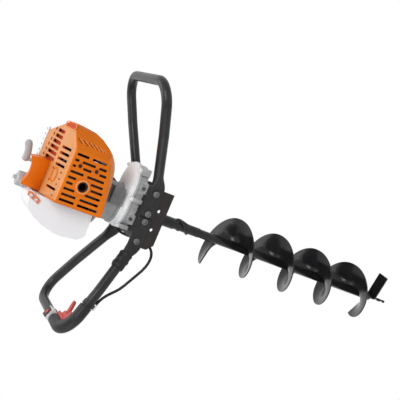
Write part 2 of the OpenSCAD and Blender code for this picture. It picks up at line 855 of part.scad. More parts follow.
module crankshaft() {
  color("#86868a") head() {
    translate([0, 0, drum_z + 7]) cylinder(r = stub_r, h = clutch_top - 12 - drum_z);
    translate([0, 0, clutch_top - 12]) cylinder(r = 8, h = base_z - clutch_top + 13);
    translate([0, 0, base_z + 0.5]) cylinder(r = journal_r, h = 24);
    translate([0, 0, crank_z - 25]) cylinder(r = web_r, h = 12);
    translate([stroke / 2, 0, crank_z - 14]) cylinder(r = 7, h = 28);
    translate([0, 0, crank_z + 13]) cylinder(r = web_r, h = 12);
    translate([0, 0, crank_z + 24]) cylinder(r = journal_r, h = case_top - crank_z - 22);
    difference() {
      translate([0, 0, case_top + 2]) cylinder(r = 22, h = 18);
      translate([0, 0, case_top + 6]) cylinder(r = 19, h = 18);
    }
  }
}

module flywheel() {
  color("#aab0b3") head() translate([0, 0, clutch_top - 7]) difference() {
    union() {
      cylinder(r = flywheel_r, h = 6);
      cylinder(r = 16, h = 16);
      for (k = [0 : fan_blades - 1]) rotate([0, 0, k * 360 / fan_blades])
        box(24, flywheel_r - 2, -1.5, 1.5, 5, 11);
    }
    translate([0, 0, -past]) cylinder(r = 8 + run, h = 20);
  }
}

module cylinder_port(sign) {
  mirror([0, sign < 0 ? 1 : 0, 0]) box(port_x - port_half, port_x + port_half, barrel_r - 6,
    fin_y + flange_step, crank_z - port_half, crank_z + port_half);
}

module cylinder_block() {
  fin_start = case_x + 8;
  fin_pitch = (head_x - 6 - fin_start) / (fin_count - 1);
  translate([0, 0, crank_z]) {
    rod_x(barrel_r, case_x, head_x);
    box(case_x, case_x + 5, -case_y, case_y, -fin_z, fin_z);
    for (k = [0 : fin_count - 1])
      box(fin_start + k * fin_pitch, fin_start + k * fin_pitch + 2.5, -fin_y, fin_y, -fin_z, fin_z);
  }
}

module cylinder_node() {
  color("#a8abae") head() difference() {
    union() {
      cylinder_block();
      cylinder_port(1);
      cylinder_port(-1);
    }
    translate([0, 0, crank_z]) {
      rod_x(bore_d / 2 + run, case_x - past, head_x - 8);
      rod_x(7 + run, head_x - 9, head_x + past);
      translate([port_x, 0, 0]) rod_y(port_r, -fin_y - 10, fin_y + 10);
    }
  }
}

module piston() {
  top = head_x - 14;
  color("#c2c4c6") head() translate([0, 0, crank_z]) difference() {
    rod_x(bore_d / 2 - 0.3, top - 28, top);
    rod_x(bore_d / 2 - 4, top - 28 - past, top - 6);
  }
}

module spark_plug() {
  color("#d8d6cf") head() translate([0, 0, crank_z]) {
    rod_x(7, head_x - 7, head_x);
    translate([head_x, 0, 0]) rotate([0, 90, 0]) cylinder(r = 10, h = 8, $fn = 6);
    rod_x(5, head_x + 8, head_x + 20);
  }
}

module plug_cap() {
  color("#1f1f21") head() translate([0, 0, crank_z]) difference() {
    rod_x(9, head_x + 9, head_x + 24);
    rod_x(5 + run, head_x + 9 - past, head_x + 20.2);
  }
}

function shroud_screws_at() = [[61, crank_z + 25], [62, crank_z - 16]];

module muffler() {
  color("#4a4744") head() difference() {
    union() {
      box(muffler_x0, muffler_x1, muffler_y, -fin_y - flange_step,
        crank_z - muffler_down, crank_z + muffler_up);
      translate([outlet_x, 0, crank_z]) rod_y(outlet_r, shroud_y + 0.5, muffler_y + 3);
      for (p = shroud_screws_at())
        translate([p[0], 0, p[1]]) rod_y(5, shroud_y + cover_wall, muffler_y + past);
    }
    box(muffler_x0 + sheet, muffler_x1 - sheet, muffler_y + sheet, -fin_y - flange_step - sheet,
      crank_z - muffler_down + sheet, crank_z + muffler_up - sheet);
    translate([outlet_x, 0, crank_z]) rod_y(outlet_r - 2, shroud_y - past, muffler_y + 3);
    translate([port_x - 8, 0, crank_z]) rod_y(8, -fin_y - 8, -fin_y - 3);
    for (p = shroud_screws_at())
      translate([p[0], 0, p[1]]) rod_y(screw_r + run, shroud_y, muffler_y - past);
  }
}

module insulator() {
  color("#2f2f31") head() difference() {
    box(port_x - 18, port_x + 18, fin_y + 4, fin_y + 16, crank_z - 18, crank_z + 18);
    translate([port_x, 0, crank_z]) rod_y(port_r, fin_y, fin_y + 20);
  }
}

module carburettor() {
  front = fin_y + 16;
  color("#b4b5b2") head() difference() {
    union() {
      box(port_x - 20, port_x + 20, front, front + 34, crank_z - 20, crank_z + 20);
      box(port_x - 40, port_x - 19, front + 10, front + 24, crank_z + 14, crank_z + 19);
    }
    translate([port_x, 0, crank_z]) rod_y(port_r, front - past, front + 35);
    for (y = [front + 10, front + 26])
      translate([port_x, y, crank_z - 21]) cylinder(r = 2.5 + run, h = 42);
    translate([port_x - 32, front + 17, crank_z + 10]) cylinder(r = cable_r + slack, h = 12);
  }
}

module throttle_arm() {
  y = fin_y + 26;
  color("#c9c9c4") head() translate([port_x, y, 0]) {
    translate([0, 0, crank_z + 1]) cylinder(r = 2.5, h = 20);
    translate([0, 0, crank_z + 20.4]) {
      cylinder(r = 5, h = 3);
      box(-16, 0, -4, 4, 0, 3);
    }
  }
}

module choke_lever() {
  y = fin_y + 42;
  color("#2a2a2c") head() translate([port_x, y, 0]) {
    translate([0, 0, crank_z - 21]) cylinder(r = 2.5, h = 8);
    translate([0, 0, crank_z - 23.4]) {
      cylinder(r = 5, h = 3);
      box(0, 24, -4, 4, 0, 3);
    }
  }
}

filter_y = fin_y + 50;
module air_filter() {
  color("#3d4a3f") head() difference() {
    box(filter_x0 + 4, filter_x1 - 4, filter_y + filter_back, filter_y + filter_depth - 4,
      crank_z - filter_half + 4, crank_z + filter_half - 4);
    translate([port_x, 0, crank_z]) rod_y(16, filter_y, filter_y + 30);
  }
}

module filter_cover() {
  color("#2d2d2f") head() difference() {
    box(filter_x0, filter_x1, filter_y, filter_y + filter_depth,
      crank_z - filter_half, crank_z + filter_half);
    box(filter_x0 + filter_wall, filter_x1 - filter_wall, filter_y + filter_back,
      filter_y + filter_depth - filter_wall, crank_z - filter_half + filter_wall,
      crank_z + filter_half - filter_wall);
    translate([port_x, 0, crank_z]) rod_y(port_r, filter_y - past, filter_y + filter_back + past);
  }
}

module ignition_coil() {
  color("#26282c") head() difference() {
    box(flywheel_r - 4, coil_x, -coil_half, coil_half, clutch_top + 1.5, base_z);
    cylinder(r = flywheel_r + 1, h = base_z + past);
  }
}

// Shroud: three outlines and a slanted corner that meet in one shell, open towards the tank and the fan
function shroud_side(open) = [[shroud_x - open, shroud_low - open], [80, crank_z - 62 - open],
  [110, crank_z - 44], [122, crank_z - 30], [134, crank_z - 13], [143, crank_z + 8],
  [146, crank_z + 36], [147, crank_z + 64], [143, rear_z], [shroud_x - open, rear_z]];
function shroud_end(open) = [[shroud_y, shroud_low - 10 - open], [shroud_back, shroud_low - 10 - open],
  [shroud_back, shroud_ridge + rear_rise * (shroud_back - shroud_ridge_y)], [shroud_ridge_y, shroud_ridge],
  [shroud_y, shroud_edge]];
function shroud_plan(open) = [[shroud_x - open, shroud_y], [side_knee, shroud_y], [140, shroud_y + 34],
  [front_x, shroud_y + 50], [front_x, shroud_back], [shroud_x - open, shroud_back]];

module shroud_form(open, wall) {
  intersection() {
    prism_y(inset(shroud_side(open), wall), shroud_y - past, shroud_back + past);
    prism_x(inset(shroud_end(open), wall), shroud_x - open - past, front_x + past);
    linear_extrude(rear_z) polygon(inset(shroud_plan(open), wall));
    translate(corner_at) rotate([0, -corner_lift, corner_turn])
      translate([-big - wall, -big / 2, -big / 2]) cube(big);
  }
}

module side_slots() {
  difference() {
    for (k = [0 : slot_rows - 1]) {
      x = 85 - k * slot_pitch;
      box(x - slot_w / 2, x + slot_w / 2, shroud_y - past, shroud_y + 5, crank_z + 8, crank_z + 41);
      box(x - slot_w / 2, x + slot_w / 2, shroud_y - past, shroud_y + 5, crank_z - 33 - 2.6 * k, crank_z);
    }
    translate([outlet_x, 0, crank_z]) rod_y(outlet_r + 7, shroud_y - 5, shroud_y + 10);
    for (p = shroud_screws_at()) translate([p[0], 0, p[1]]) rod_y(7, shroud_y - 5, shroud_y + 10);
  }
}

module rear_slots() {
  for (k = [0 : rear_count - 1]) {
    x = 46.5 + k * rear_pitch;
    box(x - rear_half, x + rear_half, shroud_ridge_y, 32 - 4.4 * k, shroud_edge, rear_z + past);
  }
  for (k = [0 : edge_count - 1]) {
    x = 43 + k * rear_pitch;
    box(x - slot_w / 2, x + slot_w / 2, shroud_y + 16, shroud_y + 51, shroud_edge - 10, rear_z + past);
  }
}

module engine_shroud() {
  color("#e06e1e") head() difference() {
    shroud_form(0, 0);
    shroud_form(15, cover_wall);
    side_slots();
    rear_slots();
    translate([outlet_x, 0, crank_z]) rod_y(outlet_r + gap, shroud_y - past, shroud_y + 5);
    for (p = shroud_screws_at())
      translate([p[0], 0, p[1]]) rod_y(screw_r + slack, shroud_y - past, shroud_y + 5);
    box(starter_x0 - gap, starter_x1 + gap, starter_y0 - gap, starter_y1 + gap, starter_low, starter_top);
    box(window_x0, window_x1, shroud_back - 10, shroud_back + past, shroud_low - 20, window_top);
  }
}

module shroud_screws() {
  color("#d9d2c0") head() for (p = shroud_screws_at()) translate([p[0], 0, p[1]]) {
    rod_y(screw_head_r, shroud_y - 3, shroud_y);
    rod_y(screw_r, shroud_y, muffler_y - 2);
  }
}

// Recoil starter
module starter_cover() {
  back_top = starter_top - (starter_y1 - starter_y0) * tan(starter_slope);
  roof = scoop_depth + cover_wall;
  outside = [[starter_y0, starter_low], [starter_y1, starter_low], [starter_y1, back_top],
    [starter_y0, starter_top]];
  inside = [[starter_y0 + cover_wall, starter_low - past], [starter_y1 - cover_wall, starter_low - past],
    [starter_y1 - cover_wall, back_top - roof], [starter_y0 + cover_wall, starter_top - roof]];
  color("#d8661a") head() difference() {
    prism_x(outside, starter_x0, starter_x1);
    difference() {
      prism_x(inside, starter_x0 + cover_wall, starter_x1 - cover_wall);
      translate([0, 0, rope_z - 14]) cylinder(r = starter_post_r, h = starter_top - rope_z);
    }
    translate([(starter_x0 + starter_x1) / 2, starter_y0, starter_top - scoop_depth])
      rotate([-starter_slope, 0, 0]) translate([0, 0, scoop_r]) rod_y(scoop_r, -frame_w, frame_w);
    translate([rope_x, 0, rope_z]) rod_y(rope_r + slack, 0, starter_y1 + past);
  }
}

module starter_pulley() {
  color("#3a3a3c") head() translate([0, 0, rope_z - pulley_h / 2]) difference() {
    cylinder(r = pulley_r, h = pulley_h);
    translate([0, 0, (pulley_h - groove_h) / 2]) ring(pulley_r + past, groove_r, groove_h);
    translate([0, 0, -past]) cylinder(r = starter_post_r + run, h = pulley_h + 2 * past);
  }
}

module recoil_spring() {
  color("#70757a") head() translate([0, 0, rope_z - pulley_h / 2 - spring_h - slack])
    ring(spring_r, spring_bore, spring_h);
}

module starter_grip() {
  color("#c4c6c8") head() difference() {
    union() {
      translate([rope_x, 0, rope_z]) rod_y(stem_r, starter_y1 + slack, grip_y + stem_r + past);
      translate([rope_x, grip_y, rope_z]) cylinder(r = riser_r, h = grip_rise);
      translate([grip_x, grip_y, rope_z + grip_rise]) rotate([0, 90, 0])
        cylinder(r = grip_r, h = grip_len, center = true);
    }
    translate([rope_x, 0, rope_z]) rod_y(rope_r + run, starter_y1, starter_y1 + rope_hold);
  }
}

module starter_rope() {
  color("#e8e6e0") head() translate([rope_x, 0, rope_z]) rod_y(rope_r, rope_start, starter_y1 + rope_hold);
}

// Fuel
function tank_outline() = [[tank_x, tank_low + 2], [tank_x, tank_high - 8], [tank_x - 13, tank_high],
  [tank_x - 27, tank_high], [tank_x - 45, tank_high - 8], [tank_x - 58, tank_high - 26],
  [tank_x - 71, tank_high - 52], [tank_x - 78, tank_high - 86], [tank_x - 78, tank_low + 52],
  [tank_x - 73, tank_low + 16], [tank_x - 59, tank_low]];

module fuel_tank() {
  half = tank_w / 2;
  color("#e4e2e6") head() difference() {
    union() {
      prism_y(tank_outline(), -half, half);
      box(boss_x, cap_x, cap_y - boss_half, cap_y + boss_half, boss_low, boss_top);
      translate([cap_x, cap_y, boss_low]) cylinder(r = boss_r, h = boss_top - boss_low);
      translate([cap_x, cap_y, boss_low]) cylinder(r = neck_r, h = neck_top - boss_low);
    }
    prism_y(inset(tank_outline(), tank_wall), -half + tank_wall, half - tank_wall);
    translate([cap_x, cap_y, boss_low + tank_wall]) cylinder(r = neck_r - tank_wall, h = neck_top);
    box(boss_x, cap_x, cap_y - boss_half / 2, cap_y + boss_half / 2,
      boss_low + tank_wall, boss_top - tank_wall);
  }
}

module fuel_cap() {
  color("#c9cbcd") head() translate([cap_x, cap_y, cap_z]) {
    difference() {
      cylinder(r = cap_r, h = cap_h);
      translate([0, 0, -past]) cylinder(r = neck_r + slack, h = cap_depth + past);
    }
    translate([0, 0, cap_h]) cylinder(r = knob_r, h = knob_r);
  }
}

module tank_bracket() {
  front = -tank_w / 2;
  color("#c98a66") head() difference() {
    box(bracket_x, shroud_x, front - bracket_t, front, bracket_low, bracket_top);
    for (z = [bracket_low + 7, bracket_low + 19])
      box(bracket_x + 4, bracket_x + 16, front - bracket_t - past, front + past, z, z + bracket_t + 2);
  }
}

// Controls on the left handle
module left_frame() {
  head() mirror([1, 0, 0]) handle_frame() children();
}

// Point of the straight stretch of the left handle's near leg
function leg_point(u) = bow_point + (u - bow_u) / cos(second_heading) * along(second_heading);
clip_point = leg_point(clip_u);
grip_end = leg_point(clip_u + clip_len + 2);

// The grip follows the tube from the crossbar round the near corner to the cable's clip
grip_path = concat([[[handle_len, grip_start], -90]],
  [for (i = [len(half_path) : len(half_path) + 8]) handle_path[i]],
  [[[grip_end[0], -grip_end[1]], -second_heading - 180]]);

module throttle_housing() {
  seat = handle_len - tube_r - 0.1;
  slot = handle_len - tube_r - grip_wall - 0.5;
  color("#26262a") left_frame() {
    pipe_along(grip_path, tube_r + grip_wall, tube_r + run);
    translate([0, 0, -lever_drop]) difference() {
      box(pivot_u - 9, seat, lever_v - 12, lever_v + 12, -8, 8);
      box(pivot_u - 20, slot, lever_v - 13, lever_v + 13, -4, 4);
      translate([pivot_u, lever_v, -9]) cylinder(r = 3 + run, h = 18);
    }
  }
}

module throttle_lever() {
  color("#c8504b") left_frame() translate([pivot_u, lever_v, -lever_drop]) {
    translate([0, 0, -8]) cylinder(r = 3, h = 16);
    translate([0, 0, -3.6]) cylinder(r = 7, h = 7.2);
    rotate([0, 0, -lever_rest]) box(-lever_len, 0, -4, 4, -3.6, 3.6);
  }
}

module switch_housing() {
  color("#e3e3e3") left_frame() difference() {
    union() {
      translate([handle_len, 0, 0])
        rod_y(tube_r + clamp_wall, switch_v - switch_half, switch_v + switch_half);
      box(handle_len - 14, handle_len + 14, switch_v - switch_half, switch_v + switch_half, 4, switch_top);
    }
    translate([handle_len, 0, 0]) rod_y(tube_r + run, switch_v - 20, switch_v + 20);
    translate([handle_len, switch_v, button_floor]) cylinder(r = button_r + slack, h = switch_top);
  }
}

module stop_button() {
  color("#c23030") left_frame() translate([handle_len, switch_v, button_floor + button_travel + 0.3])
    cylinder(r = button_r, h = button_h);
}

module cable_clip() {
  color("#b9bcc0") left_frame() mirror([0, 1, 0]) translate([clip_point[0], clip_point[1], 0])
    rotate([0, 0, second_heading]) difference() {
      union() {
        rod_x(tube_r + 2, 0, clip_len);
        translate([0, 0, -cable_drop]) rod_x(cable_r + 2.5, 0, clip_len);
      }
      rod_x(tube_r + run, -past, clip_len + past);
      translate([0, 0, -cable_drop]) rod_x(cable_r + slack, -past, clip_len + past);
    }
}

module leg_sleeve() {
  color("#1c1c1e") left_frame() mirror([0, 1, 0]) translate([leg_root[0], leg_root[1], 0])
    rotate([0, 0, first_heading]) difference() {
      rod_x(tube_r + 3.5, 12, 50);
      rod_x(tube_r + run, 11, 51);
    }
}

// Throttle cable: from the carburettor down behind the gearbox and through the frame, as points from the
// web's underside, then to the clip on the near leg of the left handle as points of the handle's frame
cable_head = [[38, 75, 188], [38, 75, 160], [43, 77, 118], [51, 78, 88], [50.5, 78, 58], [36, 78, 33],
  [11, 78, 18.5], [-16, 77, 15], [-44, 70, 14], [-65, 51, 6], [-71, 25, -9.5], [-68.5, -5, -30],
  [-64.5, -36, -46], [-68, -68, -57.5], [-84, -92, -61], [-112, -105, -52.5], [-148, -110.5, -30.5],
  [-180, -116, -8]];
cable_handle = [[112, -123, 8], [131, -126.6, 1.6], [150, -130.2, 0], [161, -132.5, 0]];
cable_route = concat(cable_head, [for (p = cable_handle) handle_point([p[0], p[1], p[2] + cable_drop])]);

// Smooth curve through the route's points, with two rings for each stretch
function curve_at(p, i, t) =
  let (a = p[max(i - 1, 0)], b = p[i], c = p[i + 1], d = p[min(i + 2, len(p) - 1)])
  0.5 * (2 * b + (c - a) * t + (2 * a - 5 * b + 4 * c - d) * t * t + (3 * b - a - 3 * c + d) * t * t * t);
cable_line = concat([for (i = [0 : len(cable_route) - 2], t = [0, 0.5]) curve_at(cable_route, i, t)],
  [cable_route[len(cable_route) - 1]]);
function unit(v) = v / norm(v);
function heading_at(p, i) = unit(p[min(i + 1, len(p) - 1)] - p[max(i - 1, 0)]);

module throttle_cable() {
  lean = unit([0.6, 0.1, 0.8]);
  points = [for (i = [0 : len(cable_line) - 1], k = [0 : cable_sides - 1])
    let (t = heading_at(cable_line, i), m = unit(cross(t, lean)), n = cross(t, m),
      a = k * 360 / cable_sides)
    cable_line[i] + cable_r * (cos(a) * m - sin(a) * n)];
  color("#1b1b1d") head() polyhedron(points, sweep_faces(len(cable_line), cable_sides), convexity = 10);
}

frame_channel();
right_handle();
left_handle();
handle_bolts();
handle_nuts();
frame_bolts();
gearbox_lower();
gearbox_upper();
gearbox_screws();
output_bearings();
output_seal();
countershaft_bearings();
input_bearing();
clutch_housing();
housing_screws();
crankcase();
crank_bearings();
cylinder_node();  // cylinder
spark_plug();
plug_cap();
muffler();
insulator();
carburettor();
air_filter();
filter_cover();
engine_shroud();
shroud_screws();
starter_cover();
recoil_spring();
fuel_tank();
tank_bracket();
ignition_coil();
throttle_housing();
switch_housing();
cable_clip();
throttle_cable();
leg_sleeve();
throttle_lever();
stop_button();
starter_grip();
starter_rope();
starter_pulley();
crankshaft();
flywheel();
clutch_shoes();
clutch_drum();
input_pinion();
first_gear();
countershaft();
output_gear();
output_shaft();
bit_shaft();
bit_flight();
cutting_blade();
pilot_point();
coupler_pin();
piston();
throttle_arm();
choke_lever();
fuel_cap();
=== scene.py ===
# %% [markdown]
# # An earth auger, dressed for the camera
# The solids of the machine are already exact, so this lesson only loads them and gives each visible
# piece its final form and finish. All of it shares one frame: Z runs up the drill axis and the
# bit's point is the origin. Blender works in metres, while the sizes below are in millimetres.

# %% Load the frame
import math
from itertools import combinations

import bmesh
import bpy
import numpy as np
from mathutils import Matrix, Vector


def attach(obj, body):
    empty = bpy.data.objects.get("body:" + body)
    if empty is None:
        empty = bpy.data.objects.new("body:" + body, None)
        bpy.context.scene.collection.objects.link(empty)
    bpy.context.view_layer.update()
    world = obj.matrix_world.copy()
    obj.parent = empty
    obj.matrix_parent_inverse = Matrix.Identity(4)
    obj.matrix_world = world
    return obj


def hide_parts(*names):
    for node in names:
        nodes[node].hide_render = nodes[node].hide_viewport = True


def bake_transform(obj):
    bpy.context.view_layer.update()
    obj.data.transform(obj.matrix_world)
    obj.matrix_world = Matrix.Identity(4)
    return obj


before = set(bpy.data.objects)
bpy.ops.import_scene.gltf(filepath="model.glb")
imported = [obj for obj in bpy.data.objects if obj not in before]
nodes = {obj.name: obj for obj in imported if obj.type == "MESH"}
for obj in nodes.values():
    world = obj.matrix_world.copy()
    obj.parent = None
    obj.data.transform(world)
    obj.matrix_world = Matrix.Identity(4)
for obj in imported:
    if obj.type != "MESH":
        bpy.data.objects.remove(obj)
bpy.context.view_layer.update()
scene = bpy.context.scene
MM = 0.001

# %% [markdown]
# The camera comes first. The machine stands upright here, while the picture shows it lying across
# the frame, so the camera is rolled. Its axes are written as the picture's right and forward
# directions, which is easier to read than three angles, and the lens follows from the focal length
# in picture widths.

# %% Camera
FOCAL_PX, FRAME_PX, SENSOR = 713.0, 400.0, 36.0
CAMERA_PLACE, FAR_CLIP = (0.189, -1.684, 1.518), 50.0
right = Vector((0.3925, -0.3775, -0.838)).normalized()
ahead = Vector((-0.0565, 0.900, -0.432))
ahead = (ahead - ahead.dot(right) * right).normalized()
lens = bpy.data.cameras.new("camera")
lens.sensor_width = SENSOR
lens.lens = FOCAL_PX * SENSOR / FRAME_PX
lens.clip_end = FAR_CLIP
camera = bpy.data.objects.new("camera", lens)
scene.collection.objects.link(camera)
turn = Matrix((right, -ahead.cross(right), -ahead)).transposed()
camera.matrix_world = Matrix.Translation(CAMERA_PLACE) @ turn.to_4x4()
scene.camera = camera
scene.view_settings.view_transform = "Standard"
print("lens:", round(lens.lens, 2), "mm")

# %% [markdown]
# Measurements of the machine's head are taken from the underside of the frame's web, as a mechanic
# would. Short helpers turn them into points of the scene. Each handle has a plane of its own: u
# runs out along the handle, v across it and w down from it.

# %% Places on the machine
WEB_Z = 0.877
TILT = math.radians(23)
LEG_X, LEG_Z = 88.0, -4.0
BAR_U = 246.0


def at(x, y, z):
    """Point of the scene, measured in millimetres from the frame's web on the drill axis."""
    return Vector((x * MM, y * MM, z * MM + WEB_Z))


def on_left(u, v, w=0.0):
    """Point in the plane of the left handle, or w below it."""
    x = LEG_X + u * math.cos(TILT) + w * math.sin(TILT)
    return at(-x, v, LEG_Z + u * math.sin(TILT) - w * math.cos(TILT))


def on_right(u, v, w=0.0):
    """Point in the plane of the right handle, which mirrors the left one."""
    p = on_left(u, v, w)
    return Vector((-p.x, p.y, p.z))


def smooth_line(points, steps):
    """Curve through all the points, with a number of steps for each stretch."""
    line = []
    last = len(points) - 1
    for i in range(last):
        a, b, c, d = points[max(i - 1, 0)], points[i], points[i + 1], points[min(i + 2, last)]
        for k in range(steps):
            t = k / steps
            line.append(0.5 * (2 * b + (c - a) * t + (2 * a - 5 * b + 4 * c - d) * t * t
                               + (3 * b - a - 3 * c + d) * t ** 3))
    return line + [points[last]]


print("left crossbar at", [round(c, 3) for c in on_left(BAR_U, 0)])

# %% [markdown]
# The throttle cable runs in a smooth black conduit from the carburettor, down behind the gearbox,
# through the frame and out to the clip on the near leg of the left handle. It is held at both ends,
# so its length is the length of its way. A bevelled curve is the natural tool: one spline is the
# path and its points carry the conduit's radius.

# %% Throttle cable
CABLE_R, CABLE_DROP, CABLE_STEPS = 3.5, 16.8, 3
CABLE_HEAD = [(38, 75, 188), (38, 75, 160), (43, 77, 118), (51, 78, 88), (50.5, 78, 58),
              (36, 78, 33), (11, 78, 18.5), (-16, 77, 15), (-44, 70, 14), (-65, 51, 6),
              (-71, 25, -9.5), (-68.5, -5, -30), (-64.5, -36, -46), (-68, -68, -57.5),
              (-84, -92, -61), (-112, -105, -52.5), (-148, -110.5, -30.5), (-180, -116, -8)]
CABLE_LEG = [(112, -123, 8), (131, -126.6, 1.6), (150, -130.2, 0), (161, -132.5, 0)]
cable_way = [at(*p) for p in CABLE_HEAD]
cable_way += [on_left(u, v, w + CABLE_DROP) for u, v, w in CABLE_LEG]
cable_line = smooth_line(cable_way, CABLE_STEPS)
curve = bpy.data.curves.new("conduit", "CURVE")
curve.dimensions = "3D"
curve.bevel_depth = 1.0
curve.bevel_resolution = 4
curve.use_fill_caps = True
spline = curve.splines.new("POLY")
spline.points.add(len(cable_line) - 1)
for p, q in zip(spline.points, cable_line):
    p.co = (*q, 1.0)
    p.radius = CABLE_R * MM
spline.use_smooth = True
conduit = bpy.data.objects.new("conduit", curve)
scene.collection.objects.link(conduit)
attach(conduit, "machine")
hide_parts("throttle_cable")

# %% [markdown]
# The stage is a wide pale floor under a dim white world. The camera sees both as plain white, and
# so do mirrors, while all other light still falls on them as on a real studio floor, so the shadow
# stays. The light path node tells the two cases apart.

# %% Stage
WHITE = (1.0, 1.0, 1.0, 1.0)
WORLD_LIGHT = 0.42
FLOOR, FLOOR_TONE, FLOOR_ROUGH = 6.0, 0.86, 0.9


def set_inputs(node, **values):
    """Sets inputs of a shader node; an underscore in a name stands for a space."""
    for name, value in values.items():
        node.inputs[name.replace("_", " ")].default_value = value
    return node


def white_for_camera(tree, surface, white):
    """Shows plain white to the camera and to mirrors, and the surface to all other light."""
    path = tree.nodes.new("ShaderNodeLightPath")
    shown = path.outputs["Is Camera Ray"]
    for kind in ("Is Glossy Ray", "Is Transmission Ray"):
        either = tree.nodes.new("ShaderNodeMath")
        either.operation = "MAXIMUM"
        tree.links.new(shown, either.inputs[0])
        tree.links.new(path.outputs[kind], either.inputs[1])
        shown = either.outputs[0]
    mix = tree.nodes.new("ShaderNodeMixShader")
    for source, socket in zip((shown, surface, white), mix.inputs):
        tree.links.new(source, socket)
    return mix.outputs[0]


world = bpy.data.worlds.new("studio")
scene.world = world
world.use_nodes = True
tree = world.node_tree
tree.nodes.clear()
dim = set_inputs(tree.nodes.new("ShaderNodeBackground"), Color=WHITE, Strength=WORLD_LIGHT)
bright = set_inputs(tree.nodes.new("ShaderNodeBackground"), Color=WHITE, Strength=1.0)
out = tree.nodes.new("ShaderNodeOutputWorld")
sky = white_for_camera(tree, dim.outputs[0], bright.outputs[0])
tree.links.new(sky, out.inputs["Surface"])

floor_mesh = bpy.data.meshes.new("floor")
corners = [(x * FLOOR, y * FLOOR, 0) for x, y in ((-1, -1), (1, -1), (1, 1), (-1, 1))]
floor_mesh.from_pydata(corners, [], [(0, 1, 2, 3)])
floor = bpy.data.objects.new("floor", floor_mesh)
scene.collection.objects.link(floor)
paper = bpy.data.materials.new("floor_paper")
paper.use_nodes = True
tree = paper.node_tree
matt = set_inputs(tree.nodes["Principled BSDF"], Roughness=FLOOR_ROUGH,
                  Base_Color=(FLOOR_TONE, FLOOR_TONE, FLOOR_TONE, 1.0))
glow = set_inputs(tree.nodes.new("ShaderNodeEmission"), Color=WHITE, Strength=1.0)
sheet = white_for_camera(tree, matt.outputs[0], glow.outputs[0])
tree.links.new(sheet, tree.nodes["Material Output"].inputs["Surface"])
floor_mesh.materials.append(paper)
print("floor:", 2 * FLOOR, "m square")

# %% [markdown]
# Three soft lamps light the machine: a key from the front right, a weaker fill from the left and
# one from above and behind, which draws bright lines along the black tubes. Large area lamps are
# used, because a painted tube shows its roundness only in a wide, soft reflection.

# %% Lamps
LAMPS = (("key", (0.9, -1.6, 2.7), (0, 0, 0.9), 1.2, 26),
         ("fill", (-1.8, -1.5, 1.2), (0, 0, 0.8), 1.6, 12),
         ("top", (0.2, 0.8, 2.8), (0, 0, 0.9), 1.4, 16))
for name, place, target, size, watts in LAMPS:
    light = bpy.data.lights.new(name, "AREA")
    light.size = size
    light.energy = watts
    lamp = bpy.data.objects.new(name, light)
    lamp.location = place
    aim = Vector(target) - Vector(place)
    lamp.rotation_euler = aim.to_track_quat("-Z", "Y").to_euler()
    scene.collection.objects.link(lamp)
print("lamps:", len(LAMPS))

# %% [markdown]
# Every finish starts from the same recipe: two tones mixed by a noise, a roughness that follows the
# same noise, and a fine noise as bump. Real parts differ in how strong each of these is, so the
# recipe takes them as values, and anything that is the same all over the surface is set straight on
# the shader.

# %% Recipe for a finish
TONE_STOPS, SMOOTHEST = (0.3, 0.72), 0.02
CLOUD_DETAIL, GRAIN_DETAIL, GRAIN_DEPTH = 4.0, 2.0, 0.0004


def finish(name, tone, second, rough, metal=0.0, cloud=40.0, grain=900.0, bump=0.05, spread=0.08,
           specular=0.5):
    """Material with two tones, a roughness that varies by spread, and a fine grain."""
    mat = bpy.data.materials.new(name)
    mat.use_nodes = True
    tree = mat.node_tree
    shader = set_inputs(tree.nodes["Principled BSDF"], Metallic=metal, Specular_IOR_Level=specular)
    place = tree.nodes.new("ShaderNodeTexCoord").outputs["Object"]
    clouds = set_inputs(tree.nodes.new("ShaderNodeTexNoise"), Scale=cloud, Detail=CLOUD_DETAIL)
    tree.links.new(place, clouds.inputs["Vector"])
    tones = tree.nodes.new("ShaderNodeValToRGB")
    for stop, position, colour in zip(tones.color_ramp.elements, TONE_STOPS, (tone, second)):
        stop.position = position
        stop.color = (*colour, 1.0)
    tree.links.new(clouds.outputs["Fac"], tones.inputs["Fac"])
    tree.links.new(tones.outputs["Color"], shader.inputs["Base Color"])
    dull = set_inputs(tree.nodes.new("ShaderNodeMapRange"), To_Min=max(rough - spread, SMOOTHEST),
                      To_Max=min(rough + spread, 1.0))
    tree.links.new(clouds.outputs["Fac"], dull.inputs["Value"])
    tree.links.new(dull.outputs["Result"], shader.inputs["Roughness"])
    grains = set_inputs(tree.nodes.new("ShaderNodeTexNoise"), Scale=grain, Detail=GRAIN_DETAIL)
    tree.links.new(place, grains.inputs["Vector"])
    relief = set_inputs(tree.nodes.new("ShaderNodeBump"), Strength=bump, Distance=GRAIN_DEPTH)
    tree.links.new(grains.outputs["Fac"], relief.inputs["Height"])
    tree.links.new(relief.outputs["Normal"], shader.inputs["Normal"])
    return mat


print("finish recipe ready")
